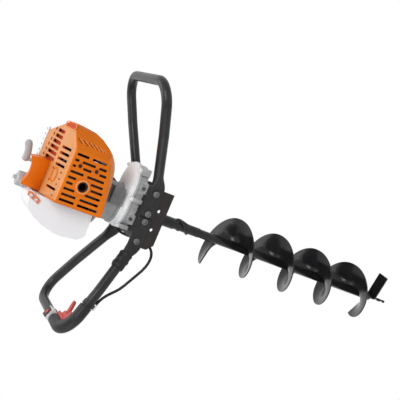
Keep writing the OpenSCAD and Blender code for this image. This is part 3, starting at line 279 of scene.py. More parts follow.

# %% [markdown]
# The engine's plastics are orange, grey and black mouldings. They are dyed through, so they have
# little contrast between their tones and a mild sheen. Besides the plain orange and the hood's
# deeper orange, three oranges are painted light and shade: painted sheen on faces that look up,
# painted highlight along tight edges, and a redder painted shade in the hollows.

# %% Plastic and rubber
orange_plastic = finish("orange_plastic", (0.74, 0.165, 0.005), (0.82, 0.195, 0.007), 0.42,
                        cloud=18, specular=0.18)
deep_orange = finish("deep_orange_plastic", (0.80, 0.160, 0.004), (0.87, 0.185, 0.005), 0.42,
                     cloud=18, specular=0.18)
# A paler, greyer orange: painted sheen on the shroud's faces that look up.
painted_sheen_orange = finish("painted_sheen_orange", (0.66, 0.26, 0.075), (0.73, 0.30, 0.095), 0.4, cloud=18,
                      specular=0.25)
# A pale orange: painted highlight on tight edges, beads, rings and lips.
highlight_orange = finish("highlight_orange_edge", (0.86, 0.27, 0.06), (0.92, 0.33, 0.09), 0.38,
                      cloud=18, bump=0.04, specular=0.3)
# A darker, redder orange: painted shade inside the moulding.
shaded_orange = finish("shaded_orange_inside", (0.52, 0.05, 0.004), (0.60, 0.07, 0.006), 0.5,
                    specular=0.2)
pale_orange = finish("pale_orange_plate", (0.70, 0.22, 0.10), (0.78, 0.28, 0.14), 0.45, bump=0.06,
                     specular=0.3)
tank_plastic = finish("tank_plastic", (0.92, 0.91, 0.935), (0.955, 0.945, 0.97), 0.34, cloud=10,
                      bump=0.04, specular=0.4)
grey_plastic = finish("grey_plastic", (0.44, 0.45, 0.46), (0.53, 0.54, 0.55), 0.42, bump=0.08,
                      specular=0.35)
black_plastic = finish("black_plastic", (0.010, 0.010, 0.011), (0.018, 0.018, 0.019), 0.45,
                       bump=0.14, specular=0.3)
red_plastic = finish("red_plastic", (0.50, 0.035, 0.028), (0.60, 0.06, 0.045), 0.36, bump=0.06,
                     specular=0.4)
white_plastic = finish("white_plastic", (0.88, 0.88, 0.88), (0.93, 0.93, 0.93), 0.4)
rubber = finish("black_rubber", (0.010, 0.010, 0.011), (0.018, 0.018, 0.019), 0.55, grain=1100,
                bump=0.2, specular=0.3)
cord_weave = finish("rope_weave", (0.50, 0.48, 0.43), (0.66, 0.64, 0.58), 0.8, grain=700, bump=0.6)
foam = finish("filter_foam", (0.05, 0.06, 0.05), (0.10, 0.12, 0.10), 0.95, grain=450, bump=0.8)
conduit.data.materials.append(rubber)
print("finishes so far:", len(bpy.data.materials))

# %% [markdown]
# The rest is metal: painted tube and plate, castings with a sandy skin, and plain steel. Paint is
# not a metal to the shader, however hard it is, so only the bare castings and steels get a metallic
# value. The bit's paint is the smoothest of all, and its tones stay close together.

# %% Paint and metal
black_steel = finish("black_steel_paint", (0.012, 0.012, 0.013), (0.022, 0.022, 0.023), 0.32,
                     grain=1500, bump=0.10, specular=0.32)
brown_black = finish("frame_paint", (0.020, 0.015, 0.015), (0.030, 0.024, 0.024), 0.45,
                     grain=1300, bump=0.14, specular=0.28)
gloss_black = finish("bit_paint", (0.011, 0.011, 0.012), (0.019, 0.019, 0.021), 0.17, cloud=25,
                     grain=500, bump=0.02, spread=0.05, specular=0.27)
# Pale alloy of the gearbox's upper half, its screws and the far strip. Its tone is raised above the
# casting's own, as painted light against the shroud's shadow on the gearbox.
pale_lit_alloy = finish("cast_alloy", (0.90, 0.92, 0.93), (0.95, 0.97, 0.98), 0.5, metal=0.05,
                    cloud=30, grain=700, bump=0.25, specular=0.35)
# The same alloy in a darker tone: painted shade on the gearbox's lower half and its lugs.
shaded_alloy = finish("cast_alloy_shaded", (0.46, 0.465, 0.47), (0.56, 0.565, 0.57), 0.5, metal=0.05,
                    cloud=30, grain=700, bump=0.25, specular=0.35)
cast_mid = finish("die_cast_alloy", (0.28, 0.283, 0.287), (0.36, 0.363, 0.367), 0.45, metal=0.3,
                  grain=700, bump=0.2, specular=0.35)
cast_dark = finish("dark_cast_alloy", (0.15, 0.15, 0.153), (0.205, 0.205, 0.208), 0.5, metal=0.2,
                   grain=700, bump=0.2, specular=0.3)
# Near-black metal for the engine's inner parts; behind the strip's holes it is painted shade.
near_black = finish("near_black_metal", (0.018, 0.014, 0.012), (0.035, 0.027, 0.022), 0.6, metal=0.2,
               bump=0.2, specular=0.2)
bright_steel = finish("bright_steel", (0.6, 0.6, 0.61), (0.72, 0.72, 0.73), 0.28, metal=0.95,
                      bump=0.08)
bolt_steel = finish("bolt_steel", (0.14, 0.14, 0.142), (0.22, 0.22, 0.222), 0.34, metal=0.8,
                    bump=0.08)
dark_steel = finish("dark_steel", (0.05, 0.048, 0.046), (0.09, 0.086, 0.082), 0.42, metal=0.6,
                    bump=0.12)
hot_steel = finish("muffler_steel", (0.03, 0.016, 0.012), (0.06, 0.03, 0.022), 0.6, metal=0.4,
                   bump=0.2)
print("finishes:", len(bpy.data.materials))

# %% [markdown]
# The solids that need no new shape keep it, and each gets its finish. A bevel modifier breaks the
# sharp edges of those that can be seen, which is what makes a machined or cast part catch the
# light.

# %% Finishes of the plain solids
PLAIN = {
    black_steel: "handle_nuts",
    brown_black: "frame_channel",
    bolt_steel: "frame_bolts",
    bright_steel: "output_bearings countershaft_bearings input_bearing crank_bearings throttle_arm"
                  " output_shaft countershaft input_pinion spark_plug",
    dark_steel: "first_gear output_gear clutch_drum clutch_shoes crankshaft recoil_spring",
    near_black: "shroud_screws crankcase cylinder flywheel",
    hot_steel: "muffler",
    cast_dark: "piston carburettor",
    cast_mid: "clutch_housing housing_screws",
    black_plastic: "filter_cover insulator choke_lever starter_pulley ignition_coil",
    red_plastic: "stop_button",
    white_plastic: "switch_housing",
    rubber: "plug_cap output_seal",
    foam: "air_filter",
    gloss_black: "cutting_blade pilot_point",
}
BEVEL = {"frame_channel": 0.8, "clutch_housing": 1.0, "handle_nuts": 0.5, "filter_cover": 3.0,
         "muffler": 3.0, "cutting_blade": 0.5, "switch_housing": 1.2, "carburettor": 1.0,
         "stop_button": 1.0, "insulator": 0.8, "crankcase": 1.2}
BEVEL_FROM = math.radians(40)
for mat, names in PLAIN.items():
    for name in names.split():
        nodes[name].data.materials.clear()
        nodes[name].data.materials.append(mat)
for name, width in BEVEL.items():
    edge = nodes[name].modifiers.new("edge", "BEVEL")
    edge.width = width * MM
    edge.segments = 2
    edge.limit_method = "ANGLE"
    edge.angle_limit = BEVEL_FROM
print("plain solids:", sum(len(n.split()) for n in PLAIN.values()))

# %% [markdown]
# New pieces are drawn as a bmesh, which is Blender's mesh while it is being worked on. Two tools
# finish them: one turns a bmesh into a named piece that rides on a body of the machine, and one
# cuts a knife out of a piece with an exact boolean.

# %% Pieces and cuts
SHARP = 32.0


def shade(mesh, sharp):
    """Shades a mesh smooth, apart from edges that turn by more than an angle."""
    mesh.shade_smooth()
    mesh.set_sharp_from_angle(angle=math.radians(sharp))


def mesh_of(name, bm):
    """Turns a bmesh into a mesh whose faces all point outwards."""
    mesh = bpy.data.meshes.new(name)
    bmesh.ops.recalc_face_normals(bm, faces=bm.faces)
    bm.to_mesh(mesh)
    bm.free()
    return mesh


def piece(name, bm, mat, solid=None, body="machine", sharp=SHARP):
    """Makes a named piece that rides on a body and may stand for a solid."""
    mesh = mesh_of(name, bm)
    mesh.materials.append(mat)
    shade(mesh, sharp)
    obj = bpy.data.objects.new(name, mesh)
    scene.collection.objects.link(obj)
    if body:
        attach(obj, body)
    if solid:
        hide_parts(solid)
    return obj


def cut(obj, knife):
    """Cuts a knife, which is a bmesh, out of a piece for good."""
    cutter = bpy.data.objects.new("knife", mesh_of("knife", knife))
    scene.collection.objects.link(cutter)
    boolean = obj.modifiers.new("knife", "BOOLEAN")
    boolean.object = cutter
    boolean.operation = "DIFFERENCE"
    boolean.solver = "EXACT"
    seen = obj.evaluated_get(bpy.context.evaluated_depsgraph_get())
    done = bpy.data.meshes.new_from_object(seen)
    obj.modifiers.clear()
    obj.data = done
    shade(done, SHARP)
    bpy.data.objects.remove(cutter)


print("piece and cut ready")

# %% [markdown]
# Most castings and stampings are a flat outline with some thickness, so a plate tool takes outline,
# depth and a function that says where the outline lies. Outlines come from a side view, from above,
# or from a slot with round ends.

# %% Plates
SLOT_STEPS, FULLY_ROUND, TINY = 6, 99.0, 1e-6


def plate(bm, outline, depth, place):
    """Adds a plate: outline points (a, b) and both depths are handed to place(a, b, d)."""
    rows = [[bm.verts.new(place(a, b, d)) for a, b in outline] for d in depth]
    bm.faces.new(rows[0])
    bm.faces.new(list(reversed(rows[1])))
    n = len(outline)
    for i in range(n):
        j = (i + 1) % n
        bm.faces.new((rows[0][j], rows[0][i], rows[1][i], rows[1][j]))


def from_side(x, z, y):
    """Place of a point that is drawn in the side view."""
    return at(x, y, z)


def from_above(y, x, z):
    """Place of a point that is drawn in the view from above."""
    return at(x, y, z)


def stadium(x0, x1, z0, z1, steps=SLOT_STEPS, corner=FULLY_ROUND):
    """Outline of a slot with round ends, or with small round corners."""
    r = min((x1 - x0) / 2, (z1 - z0) / 2, corner)
    pts = []
    for cx, cz, start in ((x1 - r, z1 - r, 0), (x0 + r, z1 - r, 90), (x0 + r, z0 + r, 180),
                          (x1 - r, z0 + r, 270)):
        for k in range(steps + 1):
            a = math.radians(start + 90 * k / steps)
            p = (cx + r * math.cos(a), cz + r * math.sin(a))
            if all(math.dist(p, q) > TINY for q in pts):
                pts.append(p)
    return pts


def round_edges(bm, width, segments=3, angle=20.0):
    """Rounds all edges that turn by more than an angle."""
    edges = [e for e in bm.edges
             if len(e.link_faces) == 2 and e.calc_face_angle(0) > math.radians(angle)]
    bmesh.ops.bevel(bm, geom=edges, offset=width * MM, segments=segments, profile=0.5,
                    affect="EDGES", clamp_overlap=True)


print("plate tools ready")

# %% [markdown]
# Screws, caps and shafts are turned on a lathe, and tubes, beads and grips follow a bent line. Both
# are rings of points joined by faces. The lathe's rings lie about an axis, and the sweep's rings
# stand square to a line, with an up direction that keeps them from twisting.

# %% Turned and swept shapes
UPRIGHT = Vector((0, 0, 1))


def round_angles(steps, closed=False):
    """Angles of a full turn in equal steps; a closed turn ends where it began."""
    return [2 * math.pi * k / steps for k in range(steps + closed)]


def circle(r, steps=24):
    """Points of a circle about the middle, in equal steps."""
    return [(r * math.cos(a), r * math.sin(a)) for a in round_angles(steps)]


def lathe(bm, profile, centre, axis="Z", steps=48, tube=False):
    """Turns (radius, height) points about an axis; radius 0 closes an end, a tube joins both."""
    rings = []
    for r, h in profile:
        ring = []
        for a, b in circle(r, steps) if r else [(0, 0)]:
            offset = {"X": (h, a, b), "Y": (a, h, b), "Z": (a, b, h)}[axis]
            ring.append(bm.verts.new(Vector(centre) + Vector(offset) * MM))
        rings.append(ring)
    for a, b in zip(rings, rings[1:] + rings[:1] if tube else rings[1:]):
        for k in range(steps):
            j = (k + 1) % steps
            around = [a[k % len(a)], a[j % len(a)], b[j % len(b)], b[k % len(b)]]
            around = list(dict.fromkeys(around))
            if len(around) > 2:
                bm.faces.new(around)
    for ring in (rings[0], rings[-1]):
        if len(ring) > 1 and not tube:
            bm.faces.new(ring)


def skin(bm, rings, caps=True):
    """Joins rings of equal length by faces and closes both ends."""
    for a, b in zip(rings, rings[1:]):
        n = len(a)
        for k in range(n):
            j = (k + 1) % n
            bm.faces.new((a[k], a[j], b[j], b[k]))
    if caps:
        bm.faces.new(rings[0])
        bm.faces.new(list(reversed(rings[-1])))


def sweep(bm, line, section, up=UPRIGHT, caps=True):
    """Sweeps section(i), a list of (side, rise), along a line; up is a vector or up(i)."""
    rings = []
    for i, p in enumerate(line):
        along = (line[min(i + 1, len(line) - 1)] - line[max(i - 1, 0)]).normalized()
        side = along.cross(up(i) if callable(up) else up).normalized()
        rise = side.cross(along)
        rings.append([bm.verts.new(p + (side * s + rise * r) * MM) for s, r in section(i)])
    skin(bm, rings, caps)


print("lathe and sweep ready")

# %% [markdown]
# The shroud is the machine's face. It is a moulded shell with flat panels that meet in soft edges,
# so its outside is made as the space between flat planes and all its edges are rounded. The same
# planes, moved in by the wall, give the inside. Three outlines, from the side, from the end and
# from above, name most of the planes. A slanted row along the lower edge and one corner are added.

# %% Planes of the shroud
SHROUD_SIDE = [(-37, 100), (38, 101), (65, 104), (80, 107.5), (96, 114.5), (110, 125), (122, 139),
               (134, 156), (143, 177), (146, 205), (147, 233), (143, 262), (-37, 262)]
SHROUD_END = [(-100, 90), (76, 90), (76, 251.6), (-40, 240), (-100, 215)]
SHROUD_PLAN = [(-37, -100), (95, -100), (140, -66), (148, -50), (148, 76), (-37, 76)]
OPEN_SIDE, OPEN_END, OPEN_PLAN = (0, 1, 2, 12), (0,), (5,)
FRONT_CORNER = np.array((147, -52, 239))
CORNER_TURN, CORNER_LIFT = math.radians(18), math.radians(11.7)
LOW_EDGES, LOW_Y, LOW_LEAN = range(2, 9), -82.0, 0.9
WALL, BEYOND, LOOKS_DOWN = 2.5, 25.0, -0.05


def planes_of(outline, axes, wall, open_sides=()):
    """Outward planes of a convex outline in two axes; open sides are pushed far out."""
    found = []
    n = len(outline)
    for i in range(n):
        (a0, b0), (a1, b1) = outline[i], outline[(i + 1) % n]
        size = math.hypot(a1 - a0, b1 - b0)
        normal = [0.0, 0.0, 0.0]
        normal[axes[0]], normal[axes[1]] = (b1 - b0) / size, (a0 - a1) / size
        offset = normal[axes[0]] * a0 + normal[axes[1]] * b0
        found.append((np.array(normal), offset + (BEYOND if i in open_sides else -wall)))
    return found


def low_planes(wall):
    """Slanted planes between the side panel and the rounded underside."""
    found = []
    for i in LOW_EDGES:
        normal = planes_of(SHROUD_SIDE, (0, 2), wall)[i][0] + np.array([0.0, -LOW_LEAN, 0.0])
        normal /= np.linalg.norm(normal)
        x, z = SHROUD_SIDE[i]
        found.append((normal, normal @ np.array([x, LOW_Y, z]) - wall))
    return found


def shroud_planes(wall, opened=False):
    """All planes of the shroud, moved in by a wall, with its open sides cleared or not."""
    side = planes_of(SHROUD_SIDE, (0, 2), wall, OPEN_SIDE if opened else ())
    end = planes_of(SHROUD_END, (1, 2), wall, OPEN_END if opened else ())
    plan = planes_of(SHROUD_PLAN, (0, 1), wall, OPEN_PLAN if opened else ())
    level = math.cos(CORNER_LIFT)
    facing = np.array([level * math.cos(CORNER_TURN), level * math.sin(CORNER_TURN),
                       math.sin(CORNER_LIFT)])
    return side + end + plan + low_planes(wall) + [(facing, facing @ FRONT_CORNER - wall)]


def low_edge(x, y):
    """Height of the shroud's underside at a place."""
    return max((d - n[0] * x - n[1] * y) / n[2] for n, d in shroud_planes(0.0) if n[2] < LOOKS_DOWN)


print("planes of the shroud:", len(shroud_planes(0.0)))

# %% [markdown]
# Three planes meet in a point, and the points that lie inside all the others are the corners of the
# shell, so a convex hull round them is the shape. Before the edges are rounded its faces get
# painted
# light: a painted highlight along the slanted lower edge, and a painted sheen where they look up.

# %% Shroud shell
SHROUD_ROUND = 7.0
# Material slots for the painted highlight on the slanted lower edge and the painted sheen on top.
EDGE_HIGHLIGHT, TOP_SHEEN = 1, 2
ALIKE, LOOKS_UP = 0.999, 0.8
SAME_POINT, SAME_FACE = 1e-5, math.radians(1)


def between(planes):
    """The solid that is enclosed by planes, each given as a normal and an offset."""
    bm = bmesh.new()
    for trio in combinations(planes, 3):
        m = np.array([p[0] for p in trio])
        if abs(np.linalg.det(m)) < TINY:
            continue
        x = np.linalg.solve(m, [p[1] for p in trio])
        if all(n @ x <= d + TINY for n, d in planes):
            bm.verts.new(at(*x))
    bmesh.ops.remove_doubles(bm, verts=bm.verts, dist=SAME_POINT)
    bmesh.ops.convex_hull(bm, input=bm.verts)
    bmesh.ops.dissolve_limit(bm, angle_limit=SAME_FACE, verts=bm.verts, edges=bm.edges)
    return bm


shell = between(shroud_planes(0.0))
slanted = [Vector(normal) for normal, offset in low_planes(0.0)]
for face in shell.faces:
    face.normal_update()
    if face.normal.z > LOOKS_UP:
        face.material_index = TOP_SHEEN
    elif any(normal.dot(face.normal) > ALIKE for normal in slanted):
        face.material_index = EDGE_HIGHLIGHT
round_edges(shell, SHROUD_ROUND, segments=4)
shroud = piece("shroud", shell, orange_plastic, "engine_shroud", sharp=28)
# Slot 1 takes the painted highlight orange, slot 2 the painted sheen orange.
shroud.data.materials.append(highlight_orange)
shroud.data.materials.append(painted_sheen_orange)
cut(shroud, between(shroud_planes(WALL, True)))
print("shroud faces:", len(shroud.data.polygons))

# %% [markdown]
# The slots of the side panel run along the drill axis in nine rows. They are broken by the exhaust
# outlet and by two screw bosses, so each row is written as the stretches it really has. One knife
# holds them all, because a single boolean is quicker and safer than many.

# %% Slots of the side panel
ROWS = [(85, (136, 171), (180, 209)), (71, (130, 149), (158, 191), (199, 210)),
        (57, (125, 143), (163, 184), (202, 210)), (43, (125, 168), (177, 210)),
        (29, (122, 153), (190, 210)), (15.5, (118, 148), (193, 209)), (1, (118, 156), (183, 210)),
        (-13, (117, 164), (174, 210)), (-26.5, (114, 165), (173, 210))]
SLOT_HALF, SLOT_CORNER = 3.0, 1.2
PANEL_Y, PANEL_CUT = -100.0, (-6, 8)
OUTLET, OUTLET_R = (17.0, 169.0), 13.0
SCREWS, SCREW_R = ((61, 194), (62, 153)), 2.9
knife = bmesh.new()
for x, *stretches in ROWS:
    for z0, z1 in stretches:
        plate(knife, stadium(x - SLOT_HALF, x + SLOT_HALF, z0, z1, 3, SLOT_CORNER),
              [PANEL_Y + d for d in PANEL_CUT], from_side)
for (x, z), r in [(OUTLET, OUTLET_R)] + [(screw, SCREW_R) for screw in SCREWS]:
    lathe(knife, [(r, d) for d in PANEL_CUT], at(x, PANEL_Y, z), "Y", 32)
cut(shroud, knife)
print("slots in the side panel:", sum(len(row) - 1 for row in ROWS))

# %% [markdown]
# The top is open too. Its sloping shoulder, on the near side, has short slots and a few small
# holes. The level part has six long slots, each with a round hole beyond its end. All of them are
# cut straight down, which is the way the mould parts, so that their walls stay upright.

# %% Slots of the top
SHOULDER_SLOTS, SHOULDER_HALF = (43, 57, 71, 85), 3.2
SHOULDER_SPAN, SHOULDER_CUT = (-84, -49), (200, 260)
LONE_SLOT, LONE_HALF, LONE_SPAN = -12.5, 3, (-84, -48)
HOLES = ((29, -80), (14, -82), (0, -79), (-27, -80), (2, -49), (31, -48))
HOLE_HALF, HOLE_REACH = 2.4, 3
TOP_SLOTS, TOP_FIRST, TOP_STEP = 6, 46.5, 13.8
TOP_HALF, TOP_CORNER, TOP_CUT = 4.2, 1.5, (225, 275)
TOP_NEAR, TOP_FAR, TOP_STEP_BACK = -40, 32, 4.4
END_HALF, END_SPAN, END_CUT = 4, (9, 20), (235, 275)


def cross_slot(bm, x, half, span, depth, steps=3, corner=FULLY_ROUND):
    """Adds a knife for a slot that runs across the machine over a span of y."""
    plate(bm, stadium(*span, x - half, x + half, steps, corner), depth, from_above)


knife = bmesh.new()
for x in SHOULDER_SLOTS:
    cross_slot(knife, x, SHOULDER_HALF, SHOULDER_SPAN, SHOULDER_CUT, corner=SLOT_CORNER)
for k in range(TOP_SLOTS):
    x, far = TOP_FIRST + TOP_STEP * k, TOP_FAR - TOP_STEP_BACK * k
    cross_slot(knife, x, TOP_HALF, (TOP_NEAR, far), TOP_CUT, corner=TOP_CORNER)
    cross_slot(knife, x, END_HALF, [far + y for y in END_SPAN], END_CUT, steps=2)
cross_slot(knife, LONE_SLOT, LONE_HALF, LONE_SPAN, SHOULDER_CUT)
for x, y in HOLES:
    cross_slot(knife, x, HOLE_HALF, (y - HOLE_REACH, y + HOLE_REACH), SHOULDER_CUT, steps=2)
cut(shroud, knife)
print("shroud faces with slots:", len(shroud.data.polygons))

# %% [markdown]
# Larger openings follow: a notch across the shoulder, the well of the starter and a window for the
# carburettor on the far side. A floor lies a little below the notch and below the top slots, so
# that a look through them ends on it; its dark red orange is painted shade, the inside of the
# moulding as it looks in shadow.

# %% Openings of the shroud
SHOULDER_Y, SHOULDER_Z, SHOULDER_RISE = -52, 235, 25 / 60
NOTCH_Y, NOTCH_X, NOTCH_CUT, NOTCH_FLOOR = (-70, -34), (132, 144), (-2, 30), (-1.9, -1.5)
STARTER_WELL, WELL_CUT = [(-40, -26), (42, -26), (42, 31), (-40, 31)], (214, 289)
FAR_WINDOW, WINDOW_CUT = [(26, 90), (96, 90), (96, 196), (26, 196)], (66, 90)
TOP_FLOOR, TOP_RISE = [(38, -44), (124, -44), (124, 20), (38, 40)], 0.1


def on_shoulder(y, x, d):
    """Place on the sloping shoulder of the shroud, or d above it."""
    return at(x, y, SHOULDER_Z + (y - SHOULDER_Y) * SHOULDER_RISE + d)


def along_top(z, level_y):
    """Places on a plane that climbs with the top, from a height at level_y."""
    return lambda x, y, d: at(x, y, z + (y - level_y) * TOP_RISE + d)


def notch(more_y, more_x):
    """Outline of the notch, as (y, x), grown by some millimetres."""
    return stadium(NOTCH_Y[0] - more_y, NOTCH_Y[1] + more_y, NOTCH_X[0] - more_x,
                   NOTCH_X[1] + more_x, 8)


knife = bmesh.new()
plate(knife, notch(0, 0), NOTCH_CUT, on_shoulder)
plate(knife, STARTER_WELL, WELL_CUT, at)
plate(knife, FAR_WINDOW, WINDOW_CUT, from_side)
cut(shroud, knife)
# Floors in the painted shade orange below the notch and the top slots.
shade_floors = bmesh.new()
plate(shade_floors, notch(-1, -0.8), NOTCH_FLOOR, on_shoulder)
plate(shade_floors, TOP_FLOOR, (0, 1), along_top(228, -40))
piece("shroud_shade_floors", shade_floors, shaded_orange)
print("shroud faces with openings:", len(shroud.data.polygons))

# %% [markdown]
# A light grey strip with a row of round holes closes the far edge of the top. It is a thin plate
# that is cut like the shroud, and a near-black sheet behind it is painted shade that keeps the
# holes dark.

# %% Strip along the far edge
STRIP, STRIP_THICK = [(30, 73), (112, 73), (106, 91), (34, 91)], (0, 3)
SHADE_SHEET, SHADE_SHEET_THICK = [(31, 75), (111, 75), (105, 90), (35, 90)], (-1.6, -0.4)
STRIP_HOLES, STRIP_FIRST, STRIP_STEP = 6, 36, 13.6
STRIP_HALF, STRIP_SPAN, STRIP_CUT = 3.6, (79, 87), (245, 262)
on_far_edge = along_top(251, 76)
strip = bmesh.new()
plate(strip, STRIP, STRIP_THICK, on_far_edge)
far_strip = piece("far_strip", strip, pale_lit_alloy)
knife = bmesh.new()
for k in range(STRIP_HOLES):
    cross_slot(knife, STRIP_FIRST + STRIP_STEP * k, STRIP_HALF, STRIP_SPAN, STRIP_CUT, steps=4)
cut(far_strip, knife)
# A near-black sheet of painted shade behind the strip's holes.
shade_sheet = bmesh.new()
plate(shade_sheet, SHADE_SHEET, SHADE_SHEET_THICK, on_far_edge)
piece("strip_shade_sheet", shade_sheet, near_black)
print("holes in the strip:", STRIP_HOLES)

# %% [markdown]
# Six slanted gills let air out of the chamfered corner. Each is cut in the chamfer's own plane,
# because only there is its outline a plain four-sided one. In that plane u runs from the side panel
# round to the front. A thin lip on the lower side of each gill makes its edge look moulded, and its
# paler orange is a painted highlight.

# %% Gills of the shroud
CHAMFER_FROM = Vector((95, -100, 0))
CHAMFER = Vector((45, 34, 0)).normalized()
OUT = Vector((CHAMFER.y, -CHAMFER.x, 0))
GILL_CUT, LIP_DEPTH, LIP_ROUND = (-8, 6), (-1.0, 1.3), 0.8
GILLS = ((28.0, 218.8, 16.6, 204.3), (27.8, 205.3, 16.6, 189.7), (26.5, 191.5, 16.6, 176.1),
         (26.6, 180.2, 16.0, 164.6), (24.8, 167.3, 15.8, 155.4), (22.6, 158.8, 17.0, 148.4))


def on_chamfer(u, z, d):
    """Place on the chamfered corner, or d outside it."""
    p = CHAMFER_FROM + CHAMFER * u + OUT * d
    return at(p.x, p.y, z)


knife = bmesh.new()
lips = bmesh.new()
for u0, z0, u1, z1 in GILLS:
    gap = [(u0, z0), (u0 + 1, z0 - 3.2), (u1 + 1, z1 - 1.4), (u1, z1 + 1.4)]
    plate(knife, gap, GILL_CUT, on_chamfer)
    lip = [(u0 + 1, z0 - 3.4), (u0 + 1.4, z0 - 7.4), (u1 + 1.4, z1 - 5.2), (u1 + 1, z1 - 1.6)]
    plate(lips, lip, LIP_DEPTH, on_chamfer)
cut(shroud, knife)
round_edges(lips, LIP_ROUND, segments=2)
# The lips take the painted highlight orange.
piece("gill_lips", lips, highlight_orange)
print("gills:", len(GILLS))

# %% [markdown]
# Small raised forms finish the shroud: a boss round each screw, an oval ring on the shoulder, and
# beads along its lower rim and its tank side. Lathe profiles make the round ones, and the others
# are round bars swept along a line, sunk halfway into the shell.

# %% Bosses and beads of the shroud
BOSS = [(3.0, 1.5), (3.0, -1.6), (3.6, -2.2), (5.8, -2.2), (6.6, -1.4), (6.8, 1.5)]
SHOULDER_UP = Vector((0, -0.385, 0.923))
BEAD_R, RIM_R, RIM_LIFT = 2.0, 2.2, 2.5
OVAL_X, OVAL_Y, OVAL_Z, OVAL_LONG, OVAL_WIDE = 18, -60, 231.7, 17, 9
RIM = ((-34, -98), (14, -98), (50, -98), (70, -97), (86, -96), (98, -92), (108, -86), (118, -78))
TANK_SIDE = ((-36, -98.5, 104), (-36, -98.5, 160), (-36, -98.5, 211), (-36, -94, 217),
             (-36, -60, 231.5))
trim = bmesh.new()
for x, z in SCREWS:
    lathe(trim, BOSS, at(x, PANEL_Y, z), "Y", 32, tube=True)
oval = [at(OVAL_X + OVAL_LONG * math.cos(a), OVAL_Y + OVAL_WIDE * math.sin(a),
           OVAL_Z + OVAL_WIDE * math.sin(a) * SHOULDER_RISE)
        for a in round_angles(40, closed=True)]
sweep(trim, oval, lambda i: circle(BEAD_R, 10), up=SHOULDER_UP, caps=False)
rim = smooth_line([at(x, y, low_edge(x, y) + RIM_LIFT) for x, y in RIM], 5)
sweep(trim, rim, lambda i: circle(RIM_R, 10), up=Vector((0, -1, 0)))
edge = smooth_line([at(*p) for p in TANK_SIDE], 5)
sweep(trim, edge, lambda i: circle(BEAD_R, 10), up=Vector((1, 0, 0)))
piece("shroud_trim", trim, orange_plastic)
print("bosses:", len(SCREWS), "and three beads")

# %% [markdown]
# Where the moulding turns a tight edge it catches the light, so these edges get a painted highlight
# in pale orange: on the outlet's ring, round the notch and along the edge between side panel and
# shoulder. These forms share one piece, because they share the painted highlight.

# %% Painted highlight on the shroud's edges
OUTLET_RING = [(12.6, 1.5), (12.6, -3.0), (13.4, -3.8), (15.6, -3.8), (17.2, -2.6), (17.8, 1.5)]
EDGE_WAYS = (((-33, -97, 216.6), (30, -97, 216.6), (92, -97, 216.6)),
             ((94, -96, 217), (106, -88, 220.5), (119, -78, 224.5)))
EDGE_WIDE, EDGE_HIGH, EDGE_UP = 3.0, 1.2, Vector((0, -0.6, 0.8))
NOTCH_BEAD, NOTCH_LIFT = 1.3, 0.4
band = bmesh.new()
lathe(band, OUTLET_RING, at(OUTLET[0], PANEL_Y, OUTLET[1]), "Y", 48, tube=True)
around = notch(1, 1)
sweep(band, [on_shoulder(y, x, NOTCH_LIFT) for y, x in around + around[:1]],
      lambda i: circle(NOTCH_BEAD, 8), up=SHOULDER_UP, caps=False)
for way in EDGE_WAYS:
    sweep(band, smooth_line([at(*p) for p in way], 6),
          lambda i: [(EDGE_WIDE * s, EDGE_HIGH * r) for s, r in circle(1.0, 12)],
          up=EDGE_UP)
piece("shroud_edge", band, highlight_orange)
print("pale edges:", len(EDGE_WAYS), "with notch and outlet")

# %% [markdown]
# The starter cover is a deep orange hood behind the shroud with a hollowed top, like a saddle. Its
# side outline is drawn once with an arc for the saddle, extruded across, rounded, and hollowed by a
# solidify modifier that keeps the outside as it is.

# %% Starter cover
HOOD_X, HOOD_Y = (-36.0, 41.0), (-25.0, 30.0)
HOOD_LOW, HOOD_SHOULDER, HOOD_TOP = 214.0, 268, 289.0
HOOD_WALL, HOOD_ROUND, SLOPES_ABOVE = 2.0, 3.5, 260
SADDLE, SADDLE_STEPS, SLOPE = 10.0, 16, math.tan(math.radians(9.5))
middle, half = sum(HOOD_X) / 2, (HOOD_X[1] - HOOD_X[0]) / 2
saddle = [(HOOD_X[0], HOOD_LOW), (HOOD_X[1], HOOD_LOW), (HOOD_X[1] - 1, HOOD_SHOULDER),
          (HOOD_X[1] - 5, HOOD_TOP)]
for k in range(1, SADDLE_STEPS):
    t = 1 - 2 * k / SADDLE_STEPS
    saddle.append((middle + (half - 4) * t, HOOD_TOP - SADDLE * (1 - t * t)))
saddle.append((HOOD_X[0] + 2, HOOD_TOP - 2))


def sloping_back(x, z, y):
    """Place in the hood's side view, whose top falls towards the far side."""
    return at(x, y, z - (SLOPE * (y - HOOD_Y[0]) if z > SLOPES_ABOVE else 0))


hood = bmesh.new()
plate(hood, saddle, HOOD_Y, sloping_back)
round_edges(hood, HOOD_ROUND, angle=25)
low = at(0, 0, HOOD_LOW + 0.1).z
underside = [f for f in hood.faces if f.calc_center_median().z < low]
bmesh.ops.delete(hood, geom=underside, context="FACES")
cover = piece("starter_hood", hood, deep_orange, "starter_cover", sharp=40)
hollow = cover.modifiers.new("shell", "SOLIDIFY")
hollow.thickness = HOOD_WALL * MM
hollow.offset = -1.0
print("saddle points:", len(saddle))

# %% [markdown]
# The tank is blow-moulded from a milky plastic: a soft pillow with large radii. Its outline is
# extruded over its width and every edge is rounded generously. A shelf carries the filler neck,
# which is a turned tube.

